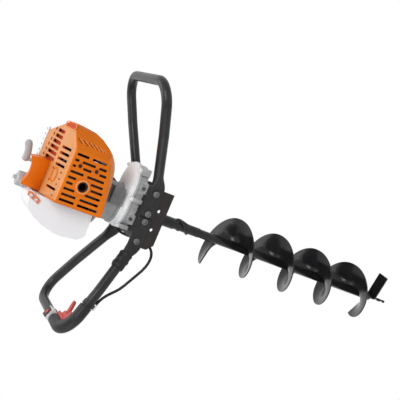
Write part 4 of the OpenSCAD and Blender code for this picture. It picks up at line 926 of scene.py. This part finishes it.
# %% Fuel tank
TANK = [(-39, 108), (-39, 257), (-52, 264), (-64, 263), (-79, 255), (-92, 238), (-104, 214),
        (-113, 180), (-114, 158), (-110, 122), (-97, 106)]
TANK_HALF, TANK_ROUND, SHELF_HALF = 62, 15.0, 10
CAP_X, CAP_Y, CAP_Z = -32.0, 51.0, 268
SHELF = [(-62, 253.5), (CAP_X, 253.5), (CAP_X, 263), (-62, 263)]
NECK = [(14, 253.5), (14, 262), (13, 263), (11, 263), (11, 278), (8.5, 278), (8.5, 253.5)]
bottle = bmesh.new()
plate(bottle, TANK, (-TANK_HALF, TANK_HALF), from_side)
round_edges(bottle, TANK_ROUND, segments=6, angle=10)
plate(bottle, SHELF, (CAP_Y - SHELF_HALF, CAP_Y + SHELF_HALF), from_side)
lathe(bottle, NECK, at(CAP_X, CAP_Y, 0), "Z", 40, tube=True)
piece("tank", bottle, tank_plastic, "fuel_tank", sharp=40)
print("tank width:", 2 * TANK_HALF, "mm")

# %% [markdown]
# A slanted plate ties the tank to the engine. It is a thin stamping with two pale screws, so a
# short outline and one lathe profile are enough.

# %% Tank bracket
TIE, TIE_Y = [(-37, 272), (-47, 272), (-60, 241), (-49, 238), (-37, 262)], (-65, -62)
TIE_ROUND = 0.7
TIE_SCREWS = ((-45, 263), (-51, 249))
TIE_HEAD = [(4.2, -64.8), (4.2, -66.2), (3.4, -67.4), (1.4, -67.6), (1.2, -66.4), (0, -66.4)]
tie = bmesh.new()
plate(tie, TIE, TIE_Y, from_side)
round_edges(tie, TIE_ROUND, segments=2)
piece("tank_tie", tie, pale_orange, "tank_bracket")
heads = bmesh.new()
for x, z in TIE_SCREWS:
    lathe(heads, TIE_HEAD, at(x, 0, z), "Y", 24)
piece("tie_screws", heads, bright_steel)
print("bracket screws:", len(TIE_SCREWS))

# %% [markdown]
# The filler cap has grip ribs round its skirt and a small knob in the middle. Its skirt is a ring
# whose radius goes in and out, which is all that ribs are. The rings run from the top of the bore
# down, round the skirt's lower edge and up to the lid.

# %% Filler cap
RIBS, RIB_POINTS = 24, 4
CAP_RINGS = ((11, 11.4, 0.0), (-4, 11.4, 0.0), (-4, 18.2, 0.0), (-2.5, 19.0, 0.6),
             (15, 18.4, 0.6), (17.5, 17.4, 0.2), (18.5, 15.6, 0.0))
KNOB = [(6.4, 286), (5.2, 287.5), (5.2, 293.5), (4.0, 295), (0, 295)]
lid = bmesh.new()
rings = []
for h, r, rib in CAP_RINGS:
    ring = []
    for k, a in enumerate(round_angles(RIBS * RIB_POINTS)):
        swell = r - rib * (k % RIB_POINTS > 1)
        ring.append(lid.verts.new(at(CAP_X + swell * math.cos(a), CAP_Y + swell * math.sin(a),
                                     CAP_Z + h)))
    rings.append(ring)
skin(lid, rings)
lathe(lid, KNOB, at(CAP_X, CAP_Y, 0), "Z", 24)
piece("filler_cap", lid, grey_plastic, "fuel_cap", "fuel_cap", sharp=35)
print("cap ribs:", RIBS)

# %% [markdown]
# The pull grip is a thick bent bar for two fingers, moulded in pale grey. A sweep along a bowed
# line with an oval section gives it, with a short stem towards the rope.

# %% Starter grip
ROPE_X, ROPE_Z = 19.85, 262.0
GRIP_FROM, GRIP_LONG, GRIP_RISE, GRIP_BOW, GRIP_STEPS = (13, 49, 280), 50, 9, 4, 20
GRIP_WIDE, GRIP_HIGH = 7.2, 8.6
GRIP_FOOT = [(5.6, 31), (6, 33), (6, 52), (5, 56)]
GRIP_STEM, STEM_Y = [(5, 0), (4.6, 10), (5.4, 21)], 50
bow = []
for t in (k / GRIP_STEPS for k in range(GRIP_STEPS + 1)):
    lift = GRIP_BOW * (2 * t - 1) ** 2
    bow.append(at(GRIP_FROM[0] + GRIP_LONG * t, GRIP_FROM[1] + lift,
                  GRIP_FROM[2] + GRIP_RISE * t + lift))


def grip_section(i):
    """Oval that swells a little towards both ends and closes there."""
    t = 2 * i / GRIP_STEPS - 1
    size = math.sqrt(max(1 - abs(t) ** 8, 0.2)) * (1 + 0.25 * t * t)
    return [(GRIP_WIDE * size * s, GRIP_HIGH * size * r) for s, r in circle(1.0, 20)]


grip = bmesh.new()
sweep(grip, bow, grip_section)
lathe(grip, GRIP_FOOT, at(ROPE_X, 0, ROPE_Z), "Y", 24)
lathe(grip, GRIP_STEM, at(ROPE_X, STEM_Y, ROPE_Z), "Z", 24)
piece("pull_grip", grip, grey_plastic, "starter_grip", "starter_grip")
print("grip length:", round((bow[-1] - bow[0]).length, 3), "m")

# %% [markdown]
# The rope runs from the pulley to the grip. As the grip is pulled the rope follows it out of the
# cover, so this piece is a line of many short rings. It rides on no body.

# %% Starter rope
ROPE_R, ROPE_Y, ROPE_RINGS = 1.8, (4.0, 38.0), 48
ROPE_HELD, ROPE_LAY = (2, 6), 0.05
strand = bmesh.new()
line = [at(ROPE_X, ROPE_Y[0] + (ROPE_Y[1] - ROPE_Y[0]) * k / ROPE_RINGS, ROPE_Z)
        for k in range(ROPE_RINGS + 1)]
sweep(strand, line, lambda i: circle(ROPE_R * (1 + ROPE_LAY * math.cos(2 * i)), 12))
rope = piece("pull_rope", strand, cord_weave, "starter_rope", body=None)
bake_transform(rope)
print("rope rings:", ROPE_RINGS)

# %% [markdown]
# Each handle is one bent tube whose ends are pressed flat and bolted to the frame. First comes the
# path of half a handle in its own plane: a straight leg, a wide bend, a tighter corner and half the
# crossbar.

# %% Path of a handle
LEG_Y = 86.5
BOW, BOW_R = Vector((120, 124)), 60.0
CORNER, CORNER_R = Vector((BAR_U, 150)), 50.0
LEG_SLOPE = (CORNER.y - BOW.y) / (CORNER.x - BOW.x)


def bend(a, b, c, r, steps):
    """Points of a rounded corner at b between a and c, in the handle's plane."""
    d, e = (b - a).normalized(), (c - b).normalized()
    half = d.angle(e) / 2
    back = r * math.tan(half)
    start, end = b - back * d, b + back * e
    middle = b + (e - d).normalized() * r / math.cos(half)
    pts = []
    for k in range(steps + 1):
        m = (start - middle).lerp(end - middle, k / steps)
        pts.append(middle + m.normalized() * r)
    return pts


def half_tube():
    """Path of half a handle from its foot to the crossbar, as (u, v)."""
    root = Vector((0, LEG_Y))
    line = [root.lerp(BOW, t) for t in (0.15, 0.25, 0.45, 0.7)]
    line += bend(root, BOW, CORNER, BOW_R, 6)
    line += [BOW.lerp(CORNER, 0.3)]
    line += bend(BOW, CORNER, Vector((BAR_U, 0)), CORNER_R, 14)
    return line + [Vector((BAR_U, v)) for v in (70, 35)]


def on_leg(u):
    """Place on the outer part of the near leg, as (u, v)."""
    return (u, -(BOW.y + (u - BOW.x) * LEG_SLOPE))


print("points on half a handle:", len(half_tube()))

# %% [markdown]
# The sweep follows that path out, across and back. Its section changes from a flat oblong to a
# circle over the stretch beside the bolts, and the up direction turns with it, from upright to the
# handle's tilted plane.

# %% Handles
TUBE_R, BOLT_Z = 12.5, -10.0
FLAT_WIDE, FLAT_THICK, FLAT_SQUARE = 36.0, 5.0, 0.25
FLAT_X = (2, 20, 40, 60, 76)
EASE = {0.25: 0.2, 0.5: 0.5, 0.75: 0.82}


def flat_section(t):
    """Section between the flat end at t = 0 and the round tube at t = 1."""
    pts = []
    for c, s in circle(1.0, 32):
        thick = FLAT_THICK / 2 * math.copysign(abs(c) ** FLAT_SQUARE, c)
        wide = FLAT_WIDE / 2 * math.copysign(abs(s) ** FLAT_SQUARE, s)
        pts.append((thick * (1 - t) + TUBE_R * c * t, wide * (1 - t) + TUBE_R * s * t))
    return pts


def bent_handle(name, solid, on, side):
    """One handle: its flat foot, the eased stretch, the tube, and the same mirrored."""
    tube = [on(p.x, p.y) for p in half_tube()]
    foot = [at(side * x, LEG_Y, BOLT_Z) for x in FLAT_X]
    one = foot + [foot[-1].lerp(tube[0], t) for t in EASE] + tube
    other = [Vector((p.x, -p.y, p.z)) for p in reversed(one)]
    roundness = [0.0] * len(foot) + list(EASE.values()) + [1.0] * len(tube)
    roundness = roundness + [1.0] + roundness[::-1]
    tilted = Vector((-side * math.sin(TILT), 0, math.cos(TILT)))
    bm = bmesh.new()
    sweep(bm, one + [on(BAR_U, 0)] + other, lambda i: flat_section(roundness[i]),
          up=lambda i: UPRIGHT.lerp(tilted, roundness[i]))
    piece(name, bm, black_steel, solid, sharp=50)


bent_handle("handle_right", "right_handle", on_right, 1)
bent_handle("handle_left", "left_handle", on_left, -1)
print("tube diameter:", 2 * TUBE_R, "mm")

# %% [markdown]
# The gearbox is cast in two halves that meet at a thick joint. Both are lofts between outlines of
# the same kind, two half circles with straight sides, so one short table of radii and heights draws
# each half. The lower half carries block-shaped lugs for the joint's screws, flat feet and thin
# upright ribs.

# %% Lower half of the gearbox
CENTRE = 57.0
LUGS = [(x, s * y) for x, y in ((-45.4, 39.9), (28.5, 60.5), (99.4, 43.0)) for s in (-1, 1)]
FEET = [(x, s * y) for x, y in ((-20, 57), (62, 60)) for s in (-1, 1)]
LOWER = [(53, 53, 5.2), (54.2, 54.2, 6.4), (54.2, 54.2, 24.5), (56.6, 56.6, 25.4),
         (57.4, 57.4, 26.2), (57.4, 57.4, 29), (56.6, 56.6, 29.8)]
RIB_X, RIB_REACH = (6, 44, 54, 72, 82), 54.0
SEAL_SEAT = [(30, 5.4), (30, 0.2), (29, -1), (12.5, -1), (12.5, 5.4)]
LUG_Z, FOOT_Z, RIB_Z, LUG_ROUND = (6.2, 29.6), (5.2, 9.6), (6, 25.5), 1.0
LUG_NARROW, LUG_BROAD, LUG_BACK, LUG_REACH = 5.0, 9.0, 16, 6.5
FOOT_IN, FOOT_OUT, FOOT_BACK, FOOT_REACH = 16, 12, 16, 4


def casing(levels, steps=24):
    """Loft of outlines: radius about the drill axis, radius about the second shaft, height."""
    half_turn = [math.pi * k / steps for k in range(steps + 1)]
    bm = bmesh.new()
    rings = []
    for r0, r1, z in levels:
        outline = [(CENTRE + r1 * math.sin(a), -r1 * math.cos(a)) for a in half_turn]
        outline += [(-r0 * math.sin(a), r0 * math.cos(a)) for a in half_turn]
        rings.append([bm.verts.new(at(x, y, z)) for x, y in outline])
    skin(bm, rings)
    return bm


def block(x, y, wide_in, wide_out, back, reach):
    """Four corners of a block that points away from the casing's middle line."""
    s = math.copysign(1, y)
    corners = [(x - wide_in, y - back * s), (x + wide_in, y - back * s),
               (x + wide_out, y + reach * s), (x - wide_out, y + reach * s)]
    return corners[::int(s)]


lugs = bmesh.new()
for x, y in LUGS:
    wide = LUG_BROAD if x > CENTRE else LUG_NARROW
    plate(lugs, block(x, y, wide, wide, LUG_BACK, LUG_REACH), LUG_Z, at)
for x, y in FEET:
    plate(lugs, block(x, y, FOOT_IN, FOOT_OUT, FOOT_BACK, FOOT_REACH), FOOT_Z, at)
round_edges(lugs, LUG_ROUND, segments=2)
lower = casing(LOWER)
for x in RIB_X:
    reach = RIB_REACH if x < CENTRE else math.sqrt(RIB_REACH ** 2 - (x - CENTRE) ** 2)
    rib = [(x - 1.3, reach - 3), (x + 1.3, reach - 3), (x + 0.9, reach + 2.6),
           (x - 0.9, reach + 2.6)]
    for s in (-1, 1):
        plate(lower, rib, RIB_Z, lambda a, b, d: at(a, s * b, d))
lathe(lower, SEAL_SEAT, at(0, 0, 0), "Z", 40, tube=True)
# The lower half's darker alloy is painted shade.
piece("casing_lugs", lugs, shaded_alloy)
piece("casing_lower", lower, shaded_alloy, "gearbox_lower", sharp=30)
print("casing lugs:", len(LUGS), "feet:", len(FEET))

# %% [markdown]
# The upper half slopes up from the second shaft to a level top over the drill axis, so only one of
# its two radii shrinks with height. Its round lugs sit on the lower ones, and a screw with a socket
# head holds each pair. A small ribbed cover closes the near side of the clutch housing.

# %% Upper half of the gearbox
UPPER = [(56.6, 56.6, 30.3), (57.4, 57.4, 31), (57.4, 57.4, 34), (56.6, 56.6, 35),
         (54.6, 54.6, 36), (54.4, 53, 37.6), (54.2, 50.6, 39.6), (54, 47, 41.6), (54, 41, 43.8),
         (53.8, 33, 45.8), (53.6, 22, 47.4), (53.4, 10, 48)]
UPPER_LUG = [(6.8, 30.3), (6.8, 35), (6.2, 36)]
SOCKET_HEAD = [(4.9, 35.9), (4.9, 39.6), (4.2, 40.8), (2.6, 40.8), (2.6, 38.4), (0, 38.4)]
CLUTCH_COVER, COVER_Y = [(1, 54.5), (45, 54.5), (45, 82), (1, 82)], (-61, -48)
COVER_RIB, COVER_RIB_Y = [(1.6, 66), (44.4, 66), (44.4, 67.6), (1.6, 67.6)], (-61.7, -58)
COVER_ROUND = 1.8
upper = casing(UPPER)
heads = bmesh.new()
for x, y in LUGS:
    lathe(upper, UPPER_LUG, at(x, y, 0), "Z", 28)
    lathe(heads, SOCKET_HEAD, at(x, y, 0), "Z", 24)
# The upper half's paler alloy is painted light against the shroud's shadow.
piece("casing_upper", upper, pale_lit_alloy, "gearbox_upper", sharp=24)
piece("casing_screws", heads, pale_lit_alloy, "gearbox_screws")
clutch = bmesh.new()
plate(clutch, CLUTCH_COVER, COVER_Y, from_side)
round_edges(clutch, COVER_ROUND)
plate(clutch, COVER_RIB, COVER_RIB_Y, from_side)
piece("clutch_cover", clutch, cast_dark)
print("levels of the upper half:", len(UPPER))

# %% [markdown]
# The handles are held by dark button-head bolts with a socket. Turned heads read much better than
# the plain hexagons of the solids, and the hidden shanks stay as short stubs.

# %% Handle bolts
BOLT_X, BOLT_FACE = (-62, -10, 10, 62), 89.0
BUTTON = [(0, -16), (3.9, -16), (3.9, 0.1), (8.0, 0.1), (8.0, 3.4), (7.2, 4.6), (5.4, 4.6),
          (4.9, 0.8), (0, 0.8)]
bolts = bmesh.new()
for x in BOLT_X:
    for s in (-1, 1):
        lathe(bolts, [(r, s * (BOLT_FACE + h)) for r, h in BUTTON], at(x, 0, BOLT_Z), "Y", 32)
piece("handle_buttons", bolts, bolt_steel, "handle_bolts")
print("bolt heads:", 2 * len(BOLT_X))

# %% [markdown]
# A black moulded grip wraps the near corner of the left handle, from the throttle lever round to
# the clip that ends the cable. It follows the tube's own path, so the sweep uses that path again
# with a larger circle, a little smaller at both ends.

# %% Throttle grip
GRIP_R, GRIP_END = 15.6, 1.6
plane_up = Vector((math.sin(TILT), 0, math.cos(TILT)))
near = [(BAR_U, -50), (BAR_U, -52), (BAR_U, -70)]
near += [(q.x, -q.y) for q in reversed(half_tube()) if q.x > 172 and q.y > 75]
near += [on_leg(u) for u in (170, 166, 164)]
wrap = bmesh.new()
sweep(wrap, [on_left(u, v) for u, v in near],
      lambda i: circle(GRIP_R - (GRIP_END if i in (0, len(near) - 1) else 0.0), 32), up=plane_up)
piece("throttle_grip", wrap, black_plastic, "throttle_housing", sharp=45)
print("throttle grip rings:", len(near))

# %% [markdown]
# The lever is a thin red leaf between two red cheeks on the inside of the grip. All of them are
# plates in the handle's plane, measured from the lever's pivot. The leaf is drawn along the pivot's
# own line and then turned to where its spring holds it.

# %% Throttle lever
PIVOT = (220.0, -70.0, 8.0)
LEVER_REST = math.radians(30)
CHEEK = [(-9, -6), (-6, -10), (12, -14), (12, 14), (-4, 11), (-9, 6)]
BASE = [(3, -20), (16, -22), (16, 30), (3, 28)]
GUARD = [(3, -19), (-5, -16), (-17, -23), (-20, -31), (-15, -37), (3, -36), (8, -28)]
LEAF = [(6, -5), (0, -7), (-12, -7.5), (-26, -6.5), (-38, -4.5), (-44, -1.5), (-45, 1.5),
        (-40, 4.5), (-26, 5.5), (-12, 6), (0, 7), (6, 5)]
CHEEK_W, BASE_W, GUARD_W, LEAF_W = ((-8.5, -4.2), (4.2, 8.5)), (-11, 8), (-11, 4), (-3.4, 3.4)
CHEEK_ROUND, LEAF_ROUND = 1.4, 1.8


def on_pivot(a, b, d):
    """Place on the left handle, measured from the lever's pivot."""
    return on_left(PIVOT[0] + a, PIVOT[1] + b, PIVOT[2] + d)


cheeks = bmesh.new()
for depth in CHEEK_W:
    plate(cheeks, CHEEK, depth, on_pivot)
plate(cheeks, BASE, BASE_W, on_pivot)
plate(cheeks, GUARD, GUARD_W, on_pivot)
round_edges(cheeks, CHEEK_ROUND, segments=2)
piece("lever_cheeks", cheeks, red_plastic)
leaf = bmesh.new()
c, s = math.cos(LEVER_REST), math.sin(LEVER_REST)
plate(leaf, [(a * c + b * s, b * c - a * s) for a, b in LEAF], LEAF_W, on_pivot)
round_edges(leaf, LEAF_ROUND)
piece("throttle_leaf", leaf, red_plastic, "throttle_lever", "throttle_lever")
print("lever length:", -min(a for a, b in LEAF), "mm")

# %% [markdown]
# The stop switch is a white block clamped on the crossbar. A black band goes round its clamp, open
# above so that the button can move, and a black face with a round hole frames the red button. The
# band is turned on the lathe and the face is a plate. A knife then opens each of them, because a
# boolean leaves a clean edge there.

# %% Stop switch
SWITCH_V, BUTTON_V, BUTTON_HOLE = (-45.0, -15.0), -30, 6.6
BAND_R, BAND_EDGE = 15.6, 15.05
BAND_GAP = [(BAR_U - 18, -50), (BAR_U + 18, -50), (BAR_U + 18, -10), (BAR_U - 18, -10)]
GAP_W, FACE_W, HOLE_W = (-22, -4), (-19.4, -18.4), (-21, -17)
FACE_HALF, FACE_MARGIN, FACE_CORNER = 12.5, 1.5, 3.0
band = bmesh.new()
lathe(band, [(BAND_EDGE, SWITCH_V[0] - 0.4), (BAND_R, SWITCH_V[0]), (BAND_R, SWITCH_V[1]),
             (BAND_EDGE, SWITCH_V[1] + 0.4)], on_left(BAR_U, 0), "Y", 40, tube=True)
switch_band = piece("switch_band", band, black_plastic)
knife = bmesh.new()
plate(knife, BAND_GAP, GAP_W, on_left)
cut(switch_band, knife)
face = bmesh.new()
plate(face, stadium(BAR_U - FACE_HALF, BAR_U + FACE_HALF, SWITCH_V[0] + FACE_MARGIN,
                    SWITCH_V[1] - FACE_MARGIN, 4, FACE_CORNER), FACE_W, on_left)
switch_face = piece("switch_face", face, black_plastic)
knife = bmesh.new()
plate(knife, [(BAR_U + u, BUTTON_V + v) for u, v in circle(BUTTON_HOLE, 32)], HOLE_W, on_left)
cut(switch_face, knife)
print("switch width:", SWITCH_V[1] - SWITCH_V[0], "mm")

# %% [markdown]
# The cable ends in a bright ferrule on a dark strap. The strap is a sweep along a short stretch of
# the leg with a small block below it, and the ferrule is a sweep whose radius grows and shrinks.

# %% Cable clip
STRAP_U, STRAP_R = (150, 151, 161, 162), (13.4, 14.4, 14.4, 13.4)
STRAP_BLOCK, STRAP_DROP = (-5.5, 5.5, -5, 5), 12
FERRULE_U, FERRULE_R = (147, 148, 156, 162, 164), (4.2, 5.4, 5.4, 5.0, 3.0)
strap = bmesh.new()
sweep(strap, [on_left(*on_leg(u)) for u in STRAP_U], lambda i: circle(STRAP_R[i], 32), up=plane_up)
sweep(strap, [on_left(*on_leg(u), STRAP_DROP) for u in STRAP_U[1:3]],
      lambda i: stadium(*STRAP_BLOCK, 3, 2.0), up=plane_up)
piece("cable_strap", strap, black_plastic, "cable_clip")
tip = bmesh.new()
sweep(tip, [on_left(u, on_leg(u)[1] + 0.4, CABLE_DROP) for u in FERRULE_U],
      lambda i: circle(FERRULE_R[i], 20), up=plane_up)
piece("cable_ferrule", tip, bright_steel)
print("ferrule length:", FERRULE_U[-1] - FERRULE_U[0], "mm")

# %% [markdown]
# The near leg beside the frame is wrapped in soft rubber. It lies in slight folds, which a sweep
# with an uneven radius imitates: two slow waves, one along the leg and one round it.

# %% Rubber sleeve
SLEEVE_U, SLEEVE_FROM, SLEEVE_LONG, SLEEVE_RINGS = 18, -8, 44, 36
SLEEVE_R, SLEEVE_END, FOLD_ALONG, FOLD_ROUND = 16.4, 1.6, 0.5, 0.7


def wrapped(i):
    """Uneven section of the sleeve, a little smaller at both ends."""
    r = SLEEVE_R + FOLD_ALONG * math.sin(0.5 * i) - (SLEEVE_END if i in (0, SLEEVE_RINGS) else 0)
    return [((r + FOLD_ROUND * math.sin(2 * a + 0.25 * i)) * math.cos(a),
             (r + FOLD_ROUND * math.sin(3 * a - 0.3 * i)) * math.sin(a))
            for a in round_angles(28)]


root = Vector((SLEEVE_U, LEG_Y + SLEEVE_U * (BOW.y - LEG_Y) / BOW.x))
way = (BOW - root).normalized()
lay = [root + way * (SLEEVE_FROM + SLEEVE_LONG * k / SLEEVE_RINGS) for k in range(SLEEVE_RINGS + 1)]
sleeve = bmesh.new()
sweep(sleeve, [on_left(q.x, -q.y) for q in lay], wrapped, up=plane_up)
piece("leg_wrap", sleeve, rubber, "leg_sleeve")
print("sleeve length:", SLEEVE_LONG, "mm")

# %% [markdown]
# The bit's shaft ends in a sleeve with a thicker collar, and both are pinned to the output shaft.
# One lathe profile draws it from the end above the point to the collar's top and back down the
# bore. From here on, heights are measured from the bit's point.

# %% Bit shaft
SHAFT = [(0, 64), (11.0, 64), (11.5, 65), (11.5, 672), (12.1, 674.5), (12.75, 678), (12.75, 750),
         (13.2, 752), (14.6, 753), (15.0, 754), (15.0, 799), (14.4, 800), (10.2, 800), (10.2, 745),
         (0, 745)]
rod = bmesh.new()
lathe(rod, SHAFT, (0, 0, 0), "Z", 48)
piece("shaft_and_socket", rod, gloss_black, "bit_shaft", "bit", sharp=30)
print("shaft rings:", len(SHAFT))

# %% [markdown]
# The coupler pin has a long rounded head, and a sprung ring that leans round the sleeve keeps it in
# its hole. The head is a sweep along the shaft whose section grows and shrinks, and the ring is a
# closed sweep round a leaning circle.

# %% Coupler pin
HEAD = ((752, 1.0), (749, 4.2), (744, 5.6), (738, 5.4), (732, 4.4), (726, 3.0), (720, 1.6),
        (715, 0.5))
HEAD_X, HEAD_HALF, HEAD_SUNK = 11.5, 7.5, 1.2
PIN_Z, PIN = 736, [(0, -13.6), (4.4, -13.6), (5.0, -13.0), (5.0, 11), (0, 11)]
RING_R, RING_Z, RING_LEAN, RING_WIRE = 14.9, 725, 17, 1.8
pin = bmesh.new()
sweep(pin, [Vector((HEAD_X, 0, z)) * MM for z, h in HEAD],
      lambda i: [(HEAD_HALF * s, (HEAD[i][1] + HEAD_SUNK) * max(r, -0.4))
                 for s, r in circle(1.0, 24)], up=Vector((1, 0, 0)))
lathe(pin, PIN, Vector((0, 0, PIN_Z)) * MM, "X", 24)
ring = [Vector((RING_R * math.cos(a), RING_R * math.sin(a), RING_Z + RING_LEAN * math.cos(a))) * MM
        for a in round_angles(48, closed=True)]
sweep(pin, ring, lambda i: circle(RING_WIRE, 12), up=Vector((-0.75, 0, 0.66)), caps=False)
piece("pin_and_ring", pin, gloss_black, "coupler_pin", "bit", sharp=40)
print("ring wire:", 2 * RING_WIRE, "mm")

# %% [markdown]
# The flight is one helical strip of steel, pressed into a slight dish: its inner edge lies lower
# than its rim. In the mesh it is a band between an inner and an outer helix, with a top and a
# bottom side, fine enough to look smooth. Its rim is a narrow flat with sharp corners, as left by
# the shears.

# %% Bit flight
FLIGHT_TOP, PITCH, TURNS = 642.0, 135.5, 4.07
START, STEPS = math.radians(187.5), 360
FLIGHT_R, STRIP_WIDE, DISH = 75, 63.5, 17.0
ACROSS = (11.4, 15, 20, 28, 38, 50, 62, 74.4)
HALF_THICK, RIM_FLAT = 2.0, 1.4
profile = [(r, HALF_THICK) for r in ACROSS] + [(FLIGHT_R, RIM_FLAT), (FLIGHT_R, -RIM_FLAT)]
profile += [(r, -HALF_THICK) for r in reversed(ACROSS)]
strip = bmesh.new()
rings = []
for i in range(STEPS + 1):
    turned = 2 * math.pi * TURNS * i / STEPS
    a = START - turned
    z = FLIGHT_TOP - PITCH * turned / (2 * math.pi)
    rings.append([strip.verts.new(Vector((r * math.cos(a), r * math.sin(a),
                                          z + h - DISH * (FLIGHT_R - r) / STRIP_WIDE)) * MM)
                  for r, h in profile])
skin(strip, rings)
piece("flight", strip, gloss_black, "bit_flight", "bit", sharp=24)
print("flight rings:", len(rings))
